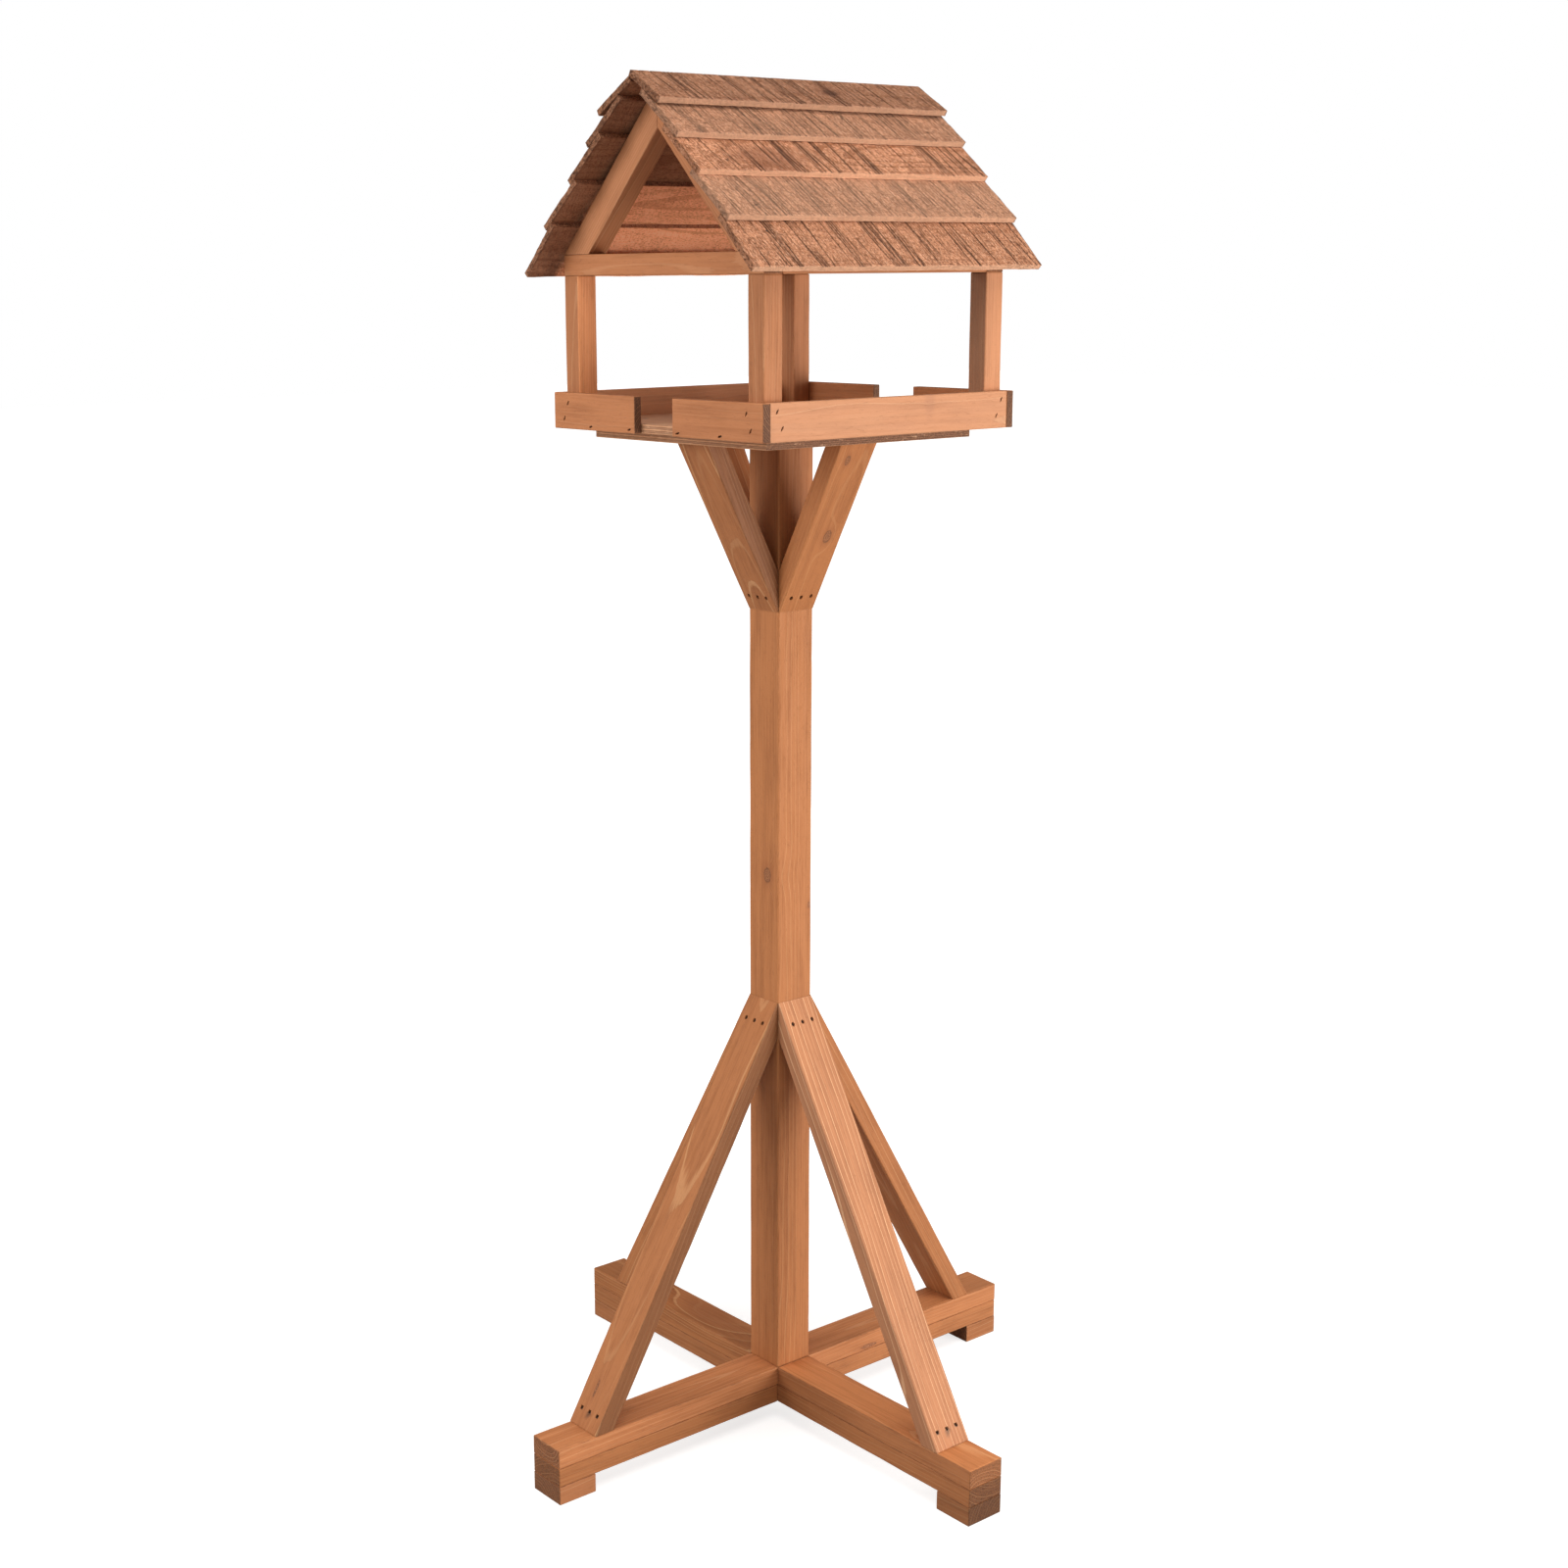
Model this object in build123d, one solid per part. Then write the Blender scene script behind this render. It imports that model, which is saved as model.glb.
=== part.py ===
from build123d import *
from math import atan, atan2, cos, pi, sin, tan
import os

# A wooden bird table: a square post on a cross base, a railed tray on top, and a lapped board roof.
# Frame: origin on the ground on the post's axis, +Z up, the roof ridge along Y, the gables at -Y and +Y.

# stock
post_width = 45.0
plank_width = 45.0
plank_thickness = 20.0
ply_thickness = 9.0
stick_width = 22.0

# base
arm_reach = 310.0
foot_length = 45.0
brace_set_in = 45.0
brace_rise = 410.0

# head of the post
post_length = 982.0
bracket_drop = 170.0
bracket_reach = 91.0
mounting_plate_width = 260.0

# tray
tray_floor_width = 300.0
rail_height = 35.0
rail_thickness = 9.0
feeding_gap = 58.0

# frame over the tray
corner_post_length = 146.0
tie_beam_height = 20.0
rafter_depth = 28.0
roof_pitch = pi / 4

# roof boards, placed by the distance of each lower edge down the slope from the rafters' apex
roof_length = 360.0
board_width = 65.0
board_thickness = 6.0
right_lower_edges = [42.0, 82.0, 127.0, 183.0, 238.0]
left_lower_edges = [55.0, 87.0, 131.0, 188.0, 242.0]

# fasteners: head diameter, head height, shank diameter, length
brace_nail = (4.0, 1.0, 2.6, 40.0)
frame_nail = (4.0, 1.0, 2.2, 35.0)
rail_pin = (2.4, 0.8, 1.4, 20.0)
roof_pin = (2.4, 0.8, 1.4, 18.0)
plate_screw = (8.0, 4.0, 4.0, 28.0)
tray_screw = (7.0, 3.5, 3.5, 16.0)
foot_screw = (8.0, 4.0, 4.0, 50.0)
base_screw = (8.0, 4.0, 4.0, 35.0)
post_screw = (12.0, 6.0, 6.0, 100.0)

# the nails at the feet of the braces lean out this far from upright
brace_foot_nail_slant = pi / 6

# levels
half_post = post_width / 2
lower_layer = plank_thickness
upper_layer = 2 * plank_thickness
cross_top = 3 * plank_thickness
post_top = cross_top + post_length
tray_bottom = post_top + ply_thickness
tray_top = tray_bottom + ply_thickness
half_tray = tray_floor_width / 2
beam_bottom = tray_bottom + corner_post_length
beam_top = beam_bottom + tie_beam_height
apex = beam_top + half_tray
stick_line = half_tray - stick_width / 2

timbers = {}
fasteners = {}


def timber(name, length, width, height, x, y, z):
    """A square-cut timber, centred on x and y, with its underside at z."""
    box = Box(length, width, height, align=(Align.CENTER, Align.CENTER, Align.MIN))
    timbers[name] = Pos(x, y, z) * box


def prism(profile, width):
    """A closed profile of (x, z) points, given its width along Y on both sides of the XZ plane."""
    outline = make_face(Polyline(*[(x, 0, z) for x, z in profile], close=True))
    return extrude(outline, amount=width / 2, dir=(0, 1, 0), both=True)


def fastener(size, point, outward, screw=False):
    """A nail or a countersunk screw with its head flush at point, driven against the outward direction."""
    head_diameter, head_height, shank_diameter, length = size
    down = (Align.CENTER, Align.CENTER, Align.MAX)
    shank = Cylinder(shank_diameter / 2, length, align=down)
    if screw:
        head = Cone(shank_diameter / 2, head_diameter / 2, head_height, align=down)
    else:
        head = Cylinder(head_diameter / 2, head_height, align=down)
    return Plane(origin=point, z_dir=outward) * (shank + head)


def drive(group, solid, *through):
    """Add a fastener to its group and cut its bore in each timber that it goes through."""
    fasteners.setdefault(group, []).append(solid)
    for name in through:
        timbers[name] = timbers[name] - solid


def turned(point, quarter):
    """A point or direction turned by quarters of a turn about the post's axis."""
    x, y, z = point
    for _ in range(quarter):
        x, y = -y, x
    return (x, y, z)


# the four sides, with the quarter turns that carry the right side (+X) onto each, and the planks of each arm
sides = {"right": 0, "back": 1, "left": 2, "front": 3}
upper_arms = {
    "right": "base_upper_right",
    "back": "base_upper_y",
    "left": "base_upper_left",
    "front": "base_upper_y",
}
lower_arms = {
    "right": "base_lower_x",
    "back": "base_lower_back",
    "left": "base_lower_x",
    "front": "base_lower_front",
}


def make_base():
    """Two layers of crossed planks, through one way and butted the other, on four foot blocks."""
    stub = arm_reach - plank_width / 2
    stub_middle = plank_width / 2 + stub / 2
    timber("base_lower_x", 2 * arm_reach, plank_width, plank_thickness, 0, 0, lower_layer)
    timber("base_upper_y", plank_width, 2 * arm_reach, plank_thickness, 0, 0, upper_layer)
    timber("base_lower_front", plank_width, stub, plank_thickness, 0, -stub_middle, lower_layer)
    timber("base_lower_back", plank_width, stub, plank_thickness, 0, stub_middle, lower_layer)
    timber("base_upper_left", stub, plank_width, plank_thickness, -stub_middle, 0, upper_layer)
    timber("base_upper_right", stub, plank_width, plank_thickness, stub_middle, 0, upper_layer)
    foot_middle = arm_reach - foot_length / 2
    for side, quarter in sides.items():
        x, y, z = turned((foot_middle, 0, 0), quarter)
        foot = Box(foot_length, plank_width, plank_thickness, align=(Align.CENTER, Align.CENTER, Align.MIN))
        timbers[f"foot_{side}"] = Pos(x, y, z) * (Rot(0, 0, 90 * quarter) * foot)


def make_post():
    timber("post", post_width, post_width, post_length, 0, 0, cross_top)


def strut(out_x, level_z, post_z):
    """A mitred plank from a level face to the post: its outer face runs from (out_x, level_z) to post_z."""
    lean = atan2(out_x - half_post, abs(level_z - post_z))
    level_cut = plank_thickness / cos(lean)
    upright_cut = plank_thickness / sin(lean)
    if level_z < post_z:
        upright_cut = -upright_cut
    profile = [
        (out_x, level_z),
        (half_post, post_z),
        (half_post, post_z + upright_cut),
        (out_x - level_cut, level_z),
    ]
    return prism(profile, plank_width), lean


def make_braces():
    """Four braces from the arms up to the post, and four brackets from the post up to the tray."""
    brace_foot_x = arm_reach - brace_set_in
    brace_head_z = cross_top + brace_rise
    bracket_foot_z = post_top - bracket_drop
    brace, brace_lean = strut(brace_foot_x, cross_top, brace_head_z)
    bracket, bracket_lean = strut(half_post + bracket_reach, post_top, bracket_foot_z)
    nail_spread = 13.0
    brace_head_nail_drop = 22.0
    brace_foot_nail_rise = 17.0
    bracket_nail_rise = 15.0
    for side, quarter in sides.items():
        timbers[f"brace_{side}"] = Rot(0, 0, 90 * quarter) * brace
        timbers[f"bracket_{side}"] = Rot(0, 0, 90 * quarter) * bracket
        for across in (-nail_spread, 0, nail_spread):
            drop = brace_head_nail_drop
            point = (half_post + drop * tan(brace_lean), across, brace_head_z - drop)
            outward = (cos(brace_lean), 0, sin(brace_lean))
            nail = fastener(brace_nail, turned(point, quarter), turned(outward, quarter))
            drive("brace_nails", nail, f"brace_{side}", "post")

            rise = brace_foot_nail_rise
            point = (brace_foot_x - rise * tan(brace_lean), across, cross_top + rise)
            outward = (sin(brace_foot_nail_slant), 0, cos(brace_foot_nail_slant))
            nail = fastener(brace_nail, turned(point, quarter), turned(outward, quarter))
            drive("brace_nails", nail, f"brace_{side}", upper_arms[side])

            rise = bracket_nail_rise
            point = (half_post + rise * tan(bracket_lean), across, bracket_foot_z + rise)
            outward = (cos(bracket_lean), 0, -sin(bracket_lean))
            nail = fastener(brace_nail, turned(point, quarter), turned(outward, quarter))
            drive("bracket_nails", nail, f"bracket_{side}", "post")


def make_tray():
    """The mounting plate, and the tray floor, notched at its corners for the posts and railed all round."""
    timber("mounting_plate", mounting_plate_width, mounting_plate_width, ply_thickness, 0, 0, post_top)
    timber("tray_floor", tray_floor_width, tray_floor_width, ply_thickness, 0, 0, tray_bottom)
    notch = Box(stick_width, stick_width, ply_thickness, align=(Align.CENTER, Align.CENTER, Align.MIN))
    for x in (-stick_line, stick_line):
        for y in (-stick_line, stick_line):
            timbers["tray_floor"] = timbers["tray_floor"] - Pos(x, y, tray_bottom) * notch
    rail_line = half_tray + rail_thickness / 2
    short_rail = half_tray + rail_thickness - feeding_gap / 2
    short_middle = feeding_gap / 2 + short_rail / 2
    for side, sign in (("left", -1), ("right", 1)):
        name = f"rail_{side}"
        timber(name, rail_thickness, tray_floor_width, rail_height, sign * rail_line, 0, tray_bottom)
        timber(f"rail_front_{side}", short_rail, rail_thickness, rail_height,
               sign * short_middle, -rail_line, tray_bottom)
        timber(f"rail_back_{side}", short_rail, rail_thickness, rail_height,
               sign * short_middle, rail_line, tray_bottom)


def make_frame():
    """Four corner posts, two tie beams across the gables, two eaves plates between them, four rafters."""
    rafter_foot = half_tray - rafter_depth / sin(roof_pitch)
    for gable, gable_sign in (("front", -1), ("back", 1)):
        y = gable_sign * stick_line
        timber(f"tie_beam_{gable}", tray_floor_width, stick_width, tie_beam_height, 0, y, beam_bottom)
        for side, side_sign in (("left", -1), ("right", 1)):
            timber(f"corner_post_{gable}_{side}", stick_width, stick_width, corner_post_length,
                   side_sign * stick_line, y, tray_bottom)
            profile = [
                (side_sign * half_tray, beam_top),
                (0, apex),
                (0, beam_top + rafter_foot),
                (side_sign * rafter_foot, beam_top),
            ]
            timbers[f"rafter_{gable}_{side}"] = Pos(0, y, 0) * prism(profile, stick_width)
    plate_length = tray_floor_width - 2 * stick_width
    for side, sign in (("left", -1), ("right", 1)):
        timber(f"eaves_plate_{side}", stick_width, plate_length, tie_beam_height,
               sign * stick_line, 0, beam_bottom)


def slope_point(sign, down, out):
    """The (x, z) of a place that lies down the slope from the apex and out from the rafters' top line."""
    x = down * cos(roof_pitch) + out * sin(roof_pitch)
    z = apex - down * sin(roof_pitch) + out * cos(roof_pitch)
    return sign * x, z


def roof_board(sign, start, seat, width, tilt):
    """A board whose inner upper edge lies at start down the slope and seat out from it, tilted outwards."""
    along = (width * cos(tilt), width * sin(tilt))
    thick = (-board_thickness * sin(tilt), board_thickness * cos(tilt))
    corners = [
        (start, seat),
        (start + along[0], seat + along[1]),
        (start + along[0] + thick[0], seat + along[1] + thick[1]),
        (start + thick[0], seat + thick[1]),
    ]
    return prism([slope_point(sign, down, out) for down, out in corners], roof_length)


def board_tilt(start, seat, lower_edge, below):
    """The tilt that lays a board on the one below it, which touches it at one end of the lap."""
    if below is None:
        return 0.0
    below_start, below_seat, below_tilt = below
    top_start = below_start - board_thickness * sin(below_tilt)
    top_seat = below_seat + board_thickness * cos(below_tilt)
    at_lap_top = atan((top_seat - seat) / (top_start - start))
    edge_seat = top_seat + (lower_edge - top_start) * tan(below_tilt)
    at_lap_bottom = atan((edge_seat - seat) / (lower_edge - start))
    return max(at_lap_top, at_lap_bottom)


def make_slope(side, sign, lower_edges, top_start, top_seat):
    """Five lapped boards laid from the eaves up; the top one is ripped to end at the ridge."""
    laid = {}
    below = None
    for number in range(len(lower_edges), 0, -1):
        lower_edge = lower_edges[number - 1]
        start = top_start if number == 1 else lower_edge - board_width
        seat = top_seat if number == 1 else 0.0
        tilt = board_tilt(start, seat, lower_edge, below)
        width = (lower_edge - start) / cos(tilt)
        timbers[f"roof_board_{side}_{number}"] = roof_board(sign, start, seat, width, tilt)
        below = (start, seat, tilt)
        laid[number] = below
    return laid


def make_roof():
    """The left slope stops at the ridge, and the right slope's top board laps over its upper edge."""
    ridge_relief = 1.0
    left = make_slope("left", -1, left_lower_edges, ridge_relief, 0.0)
    start, seat, tilt = left[1]
    left_corner_down = start - board_thickness * sin(tilt)
    left_corner_out = seat + board_thickness * cos(tilt)
    right = make_slope("right", 1, right_lower_edges, -left_corner_out, -left_corner_down)
    pin_above_edge = 15.0
    eaves_pin_above_edge = 44.0
    for side, sign, lower_edges, laid in (
        ("left", -1, left_lower_edges, left),
        ("right", 1, right_lower_edges, right),
    ):
        for number, lower_edge in enumerate(lower_edges, start=1):
            start, seat, tilt = laid[number]
            lowest = number == len(lower_edges)
            down = lower_edge - (eaves_pin_above_edge if lowest else pin_above_edge)
            pinned = [f"roof_board_{side}_{number}"]
            if not lowest:
                pinned.append(f"roof_board_{side}_{number + 1}")
            out = seat + (down - start) * tan(tilt) + board_thickness / cos(tilt)
            x, z = slope_point(sign, down, out)
            outward = (sign * sin(roof_pitch - tilt), 0, cos(roof_pitch - tilt))
            for gable, gable_sign in (("front", -1), ("back", 1)):
                pin = fastener(roof_pin, (x, gable_sign * stick_line, z), outward)
                drive("roof_pins", pin, *pinned, f"rafter_{gable}_{side}")


def fasten_tray():
    """Pins through the rails, and the screws that hold the plate to the post and the floor to the plate."""
    face = half_tray + rail_thickness
    low_pin = tray_bottom + 10
    high_pin = tray_bottom + rail_height - 10
    edge_pin = tray_bottom + 3.5
    edge_pin_places = (37.0, 99.0)
    for gable, gable_sign in (("front", -1), ("back", 1)):
        for side, side_sign in (("left", -1), ("right", 1)):
            corner = f"corner_post_{gable}_{side}"
            for z, shift in ((low_pin, 3.0), (high_pin, -3.0)):
                point = (side_sign * (stick_line + shift), gable_sign * face, z)
                pin = fastener(rail_pin, point, (0, gable_sign, 0))
                drive("rail_pins", pin, f"rail_{gable}_{side}", corner)
                point = (side_sign * face, gable_sign * (stick_line - shift), z + 2)
                pin = fastener(rail_pin, point, (side_sign, 0, 0))
                drive("rail_pins", pin, f"rail_{side}", corner)
            for x in edge_pin_places:
                point = (side_sign * x, gable_sign * face, edge_pin)
                pin = fastener(rail_pin, point, (0, gable_sign, 0))
                drive("rail_pins", pin, f"rail_{gable}_{side}", "tray_floor")
    up = (0, 0, 1)
    bracket_screw_line = half_post + bracket_reach - 14
    drive("plate_screws", fastener(plate_screw, (0, 0, tray_bottom), up, True), "mounting_plate", "post")
    for side, quarter in sides.items():
        point = turned((bracket_screw_line, 0, tray_bottom), quarter)
        drive("plate_screws", fastener(plate_screw, point, up, True), "mounting_plate", f"bracket_{side}")
    screw_line = mounting_plate_width / 2 - 35
    for x in (-screw_line, screw_line):
        for y in (-screw_line, screw_line):
            screw = fastener(tray_screw, (x, y, tray_top), up, True)
            drive("tray_screws", screw, "tray_floor", "mounting_plate")


def fasten_frame():
    """Nails down through the tie beams, in from their faces to the eaves plates, and down the rafter feet."""
    nail_offset = 5.0
    rafter_nail_set_in = 16.0
    for gable, gable_sign in (("front", -1), ("back", 1)):
        for side, side_sign in (("left", -1), ("right", 1)):
            point = (side_sign * (stick_line + nail_offset), gable_sign * stick_line, beam_top)
            nail = fastener(frame_nail, point, (0, 0, 1))
            drive("frame_nails", nail, f"tie_beam_{gable}", f"corner_post_{gable}_{side}")

            middle = beam_bottom + tie_beam_height / 2
            point = (side_sign * (stick_line - nail_offset), gable_sign * half_tray, middle)
            nail = fastener(frame_nail, point, (0, gable_sign, 0))
            drive("frame_nails", nail, f"tie_beam_{gable}", f"eaves_plate_{side}")

            x = side_sign * (half_tray - rafter_nail_set_in)
            point = (x, gable_sign * (stick_line + nail_offset), beam_top + rafter_nail_set_in)
            nail = fastener(frame_nail, point, (side_sign * sin(roof_pitch), 0, cos(roof_pitch)))
            drive("frame_nails", nail, f"rafter_{gable}_{side}", f"tie_beam_{gable}")


def fasten_base():
    """Screws up through the feet and the two layers, and one long screw up into the post's end grain."""
    underneath = (0, 0, -1)
    for side, quarter in sides.items():
        point = turned((arm_reach - foot_length / 2, 0, 0), quarter)
        screw = fastener(foot_screw, point, underneath, True)
        drive("foot_screws", screw, f"foot_{side}", lower_arms[side], upper_arms[side])
        point = turned((2 * plank_width, 0, lower_layer), quarter)
        screw = fastener(base_screw, point, underneath, True)
        drive("base_screws", screw, lower_arms[side], upper_arms[side])
    screw = fastener(post_screw, (0, 0, lower_layer), underneath, True)
    drive("post_screw", screw, "base_lower_x", "base_upper_y", "post")


make_base()
make_post()
make_braces()
make_tray()
make_frame()
make_roof()
fasten_tray()
fasten_frame()
fasten_base()

os.makedirs("parts", exist_ok=True)
for name, shape in timbers.items():
    export_step(shape, f"parts/{name}.step")
for name, shapes in fasteners.items():
    export_step(Compound(children=shapes), f"parts/{name}.step")
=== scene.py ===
from math import atan, atan2, cos, pi, radians, sin, tan

import bpy
import numpy as np
from mathutils import Matrix


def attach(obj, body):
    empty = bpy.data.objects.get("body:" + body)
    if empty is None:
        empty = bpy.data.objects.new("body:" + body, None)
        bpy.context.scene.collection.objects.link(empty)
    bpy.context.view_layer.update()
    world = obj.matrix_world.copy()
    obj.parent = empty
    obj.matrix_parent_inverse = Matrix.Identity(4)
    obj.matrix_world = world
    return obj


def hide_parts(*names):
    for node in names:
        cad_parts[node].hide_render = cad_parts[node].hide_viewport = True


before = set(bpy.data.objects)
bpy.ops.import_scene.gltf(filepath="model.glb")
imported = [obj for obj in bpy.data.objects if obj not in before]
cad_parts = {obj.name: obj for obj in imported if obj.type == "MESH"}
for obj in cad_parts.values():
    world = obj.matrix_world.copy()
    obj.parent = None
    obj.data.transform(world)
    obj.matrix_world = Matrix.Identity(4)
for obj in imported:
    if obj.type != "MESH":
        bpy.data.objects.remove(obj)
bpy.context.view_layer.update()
print("frame loaded:", len(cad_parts), "CAD nodes")

# The object is a bird table. Lengths are metres. The tables of knots, piths, roof edges and screws, and the
# grain and knot attributes, are millimetres.
mm = 0.001
stock = {"post": 45 * mm, "plank": 45 * mm, "thick": 20 * mm, "ply": 9 * mm, "stick": 22 * mm}
level = {"foot": 0.0, "lower": 20 * mm, "upper": 40 * mm, "cross": 60 * mm, "postTop": 1042 * mm}
level["tray"] = level["postTop"] + stock["ply"]
level["floorTop"] = level["tray"] + stock["ply"]
level["beam"] = level["tray"] + 146 * mm
level["beamTop"] = level["beam"] + 20 * mm
sharpAngle = radians(38)
halfPost = stock["post"] / 2
halfTray = 150 * mm
apexHeight = level["beamTop"] + halfTray
stickLine = halfTray - stock["stick"] / 2
armReach = 310 * mm
quarterOf = {"right": 0, "back": 1, "left": 2, "front": 3}


class NodeSheet:
    # a material whose nodes are put in by short calls; a socket is linked, a number is set
    def __init__(self, name):
        self.material = bpy.data.materials.new(name)
        self.material.use_nodes = True
        self.tree = self.material.node_tree
        self.tree.nodes.clear()

    def add(self, kind, inputs, **settings):
        node = self.tree.nodes.new("ShaderNode" + kind)
        for key, value in settings.items():
            setattr(node, key, value)
        for place, value in inputs.items():
            if isinstance(value, bpy.types.NodeSocket):
                self.tree.links.new(value, node.inputs[place])
            else:
                node.inputs[place].default_value = value
        return node

    def math(self, operation, *values, clamp=False):
        return self.add("Math", dict(enumerate(values)), operation=operation, use_clamp=clamp).outputs[0]

    def vector(self, operation, *values):
        node = self.add("VectorMath", dict(enumerate(values)), operation=operation)
        return node.outputs["Value" if operation in ("LENGTH", "DOT_PRODUCT") else "Vector"]

    def mix(self, amount, low, high, blend="MIX"):
        return self.add("Mix", {0: amount, 6: low, 7: high}, data_type="RGBA", blend_type=blend).outputs[2]

    def layer(self, body, mask, amount, tint, clamp=False):
        # the tint laid over the body where the mask allows
        return self.mix(self.math("MULTIPLY", mask, amount, clamp=clamp), body, tint)

    def split(self, vector):
        return self.add("SeparateXYZ", {0: vector}).outputs

    def join(self, x, y, z):
        return self.add("CombineXYZ", {0: x, 1: y, 2: z}).outputs[0]

    def attribute(self, name):
        return self.add("Attribute", {}, attribute_name=name).outputs["Vector"]

    def noise(self, vector, stretch, detail=2.0, roughness=0.5, colour=False):
        stretched = self.vector("MULTIPLY", vector, stretch)
        node = self.add("TexNoise", {"Vector": stretched, "Scale": 1.0, "Detail": detail,
                                     "Roughness": roughness})
        return node.outputs["Color" if colour else "Fac"]

    def between(self, value, low, high, start=0.0, end=1.0):
        # a smooth rise from start to end as the value goes from low to high
        node = self.add("MapRange", {"Value": value, "From Min": low, "From Max": high,
                                     "To Min": start, "To Max": end}, interpolation_type="SMOOTHSTEP")
        return node.outputs[0]

    def toneAndPaintedSheen(self, body, tone, warmth):
        # each timber's own tone, then a richer stain where its warmth is above 0, and a paler colour below 0,
        # which is partly paler wood and partly painted sheen on faces that catch the lamps
        node = self.add("VectorMath", {0: body, 3: tone}, operation="SCALE")
        rich = self.mix(1.0, node.outputs["Vector"], colour(1.0, 0.94, 0.66), "MULTIPLY")
        body = self.mix(self.math("MAXIMUM", warmth, 0.0), node.outputs["Vector"], rich)
        return self.mix(self.math("MAXIMUM", self.math("MULTIPLY", warmth, -1.0), 0.0), body,
                        colour(0.70, 0.46, 0.31))

    def surface(self, colour, roughness, height, depth, specular=0.35, metal=0.0):
        bump = self.add("Bump", {"Strength": 1.0, "Distance": depth, "Height": height})
        shader = self.add("BsdfPrincipled", {"Base Color": colour, "Roughness": roughness,
                                             "Metallic": metal, "Specular IOR Level": specular,
                                             "Normal": bump.outputs[0]})
        self.add("OutputMaterial", {"Surface": shader.outputs[0]})
        return self.material


def colour(red, green, blue):
    return (red, green, blue, 1.0)


def growthRings(sheet, spec):
    # Rings are counted by the distance from the pith, which runs along the grain's third axis.
    # Slow noise bends the rings, fast noise frays each one, and knots push them outwards. A knot whose rise
    # is below zero has a halo but no core.
    grain = sheet.attribute("grain")
    slow = sheet.noise(grain, (1 / 42, 1 / 42, 1 / 230), 1.0, colour=True)
    fast = sheet.noise(grain, (0.5, 0.5, 1 / 34), 2.0, 0.6, colour=True)
    bent = sheet.vector("MULTIPLY_ADD", slow, (spec["bend"],) * 2 + (0.0,), grain)
    frayed = sheet.vector("MULTIPLY_ADD", fast, (spec["fray"],) * 2 + (0.0,), bent)
    flat = sheet.vector("MULTIPLY", frayed, (1.0, 1.0, 0.0))
    radius = sheet.vector("LENGTH", flat)
    naturalBase = 2.718
    core, halo = 0.0, 0.0
    for name in ("knotA", "knotB"):
        across, along, rise = sheet.split(sheet.attribute(name))
        square = sheet.math("ADD", sheet.math("MULTIPLY", across, across),
                            sheet.math("MULTIPLY", along, along))
        swell = sheet.math("POWER", naturalBase, sheet.math("MULTIPLY", square, -0.16))
        radius = sheet.math("MULTIPLY_ADD", swell, sheet.math("ABSOLUTE", rise), radius)
        real = sheet.math("GREATER_THAN", rise, 0.0)
        away = sheet.math("MULTIPLY_ADD", sheet.noise(grain, (0.4, 0.4, 0.4), 2.0), 0.5,
                          sheet.math("SQRT", square))
        core = sheet.math("MAXIMUM", core, sheet.math("MULTIPLY", real, sheet.between(away, 1.45, 1.0)))
        shown = sheet.math("GREATER_THAN", sheet.math("ABSOLUTE", rise), 0.0)
        halo = sheet.math("MAXIMUM", halo, sheet.math("MULTIPLY", shown, sheet.between(away, 2.9, 1.1)))
    count = sheet.math("DIVIDE", radius, spec["ringWidth"])
    phase = sheet.math("FRACT", count)
    number = sheet.math("FLOOR", count)
    each = sheet.add("TexWhiteNoise", {"W": number}, noise_dimensions="1D").outputs["Value"]
    line = sheet.math("MULTIPLY", sheet.between(phase, spec["lineStart"], spec["lineStart"] + 0.1),
                      sheet.between(phase, 1.0, 0.97))
    line = sheet.math("MULTIPLY", line, sheet.between(each, 0.1, 0.95, 0.2, 1.0))
    return grain, phase, each, line, core, halo


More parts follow.
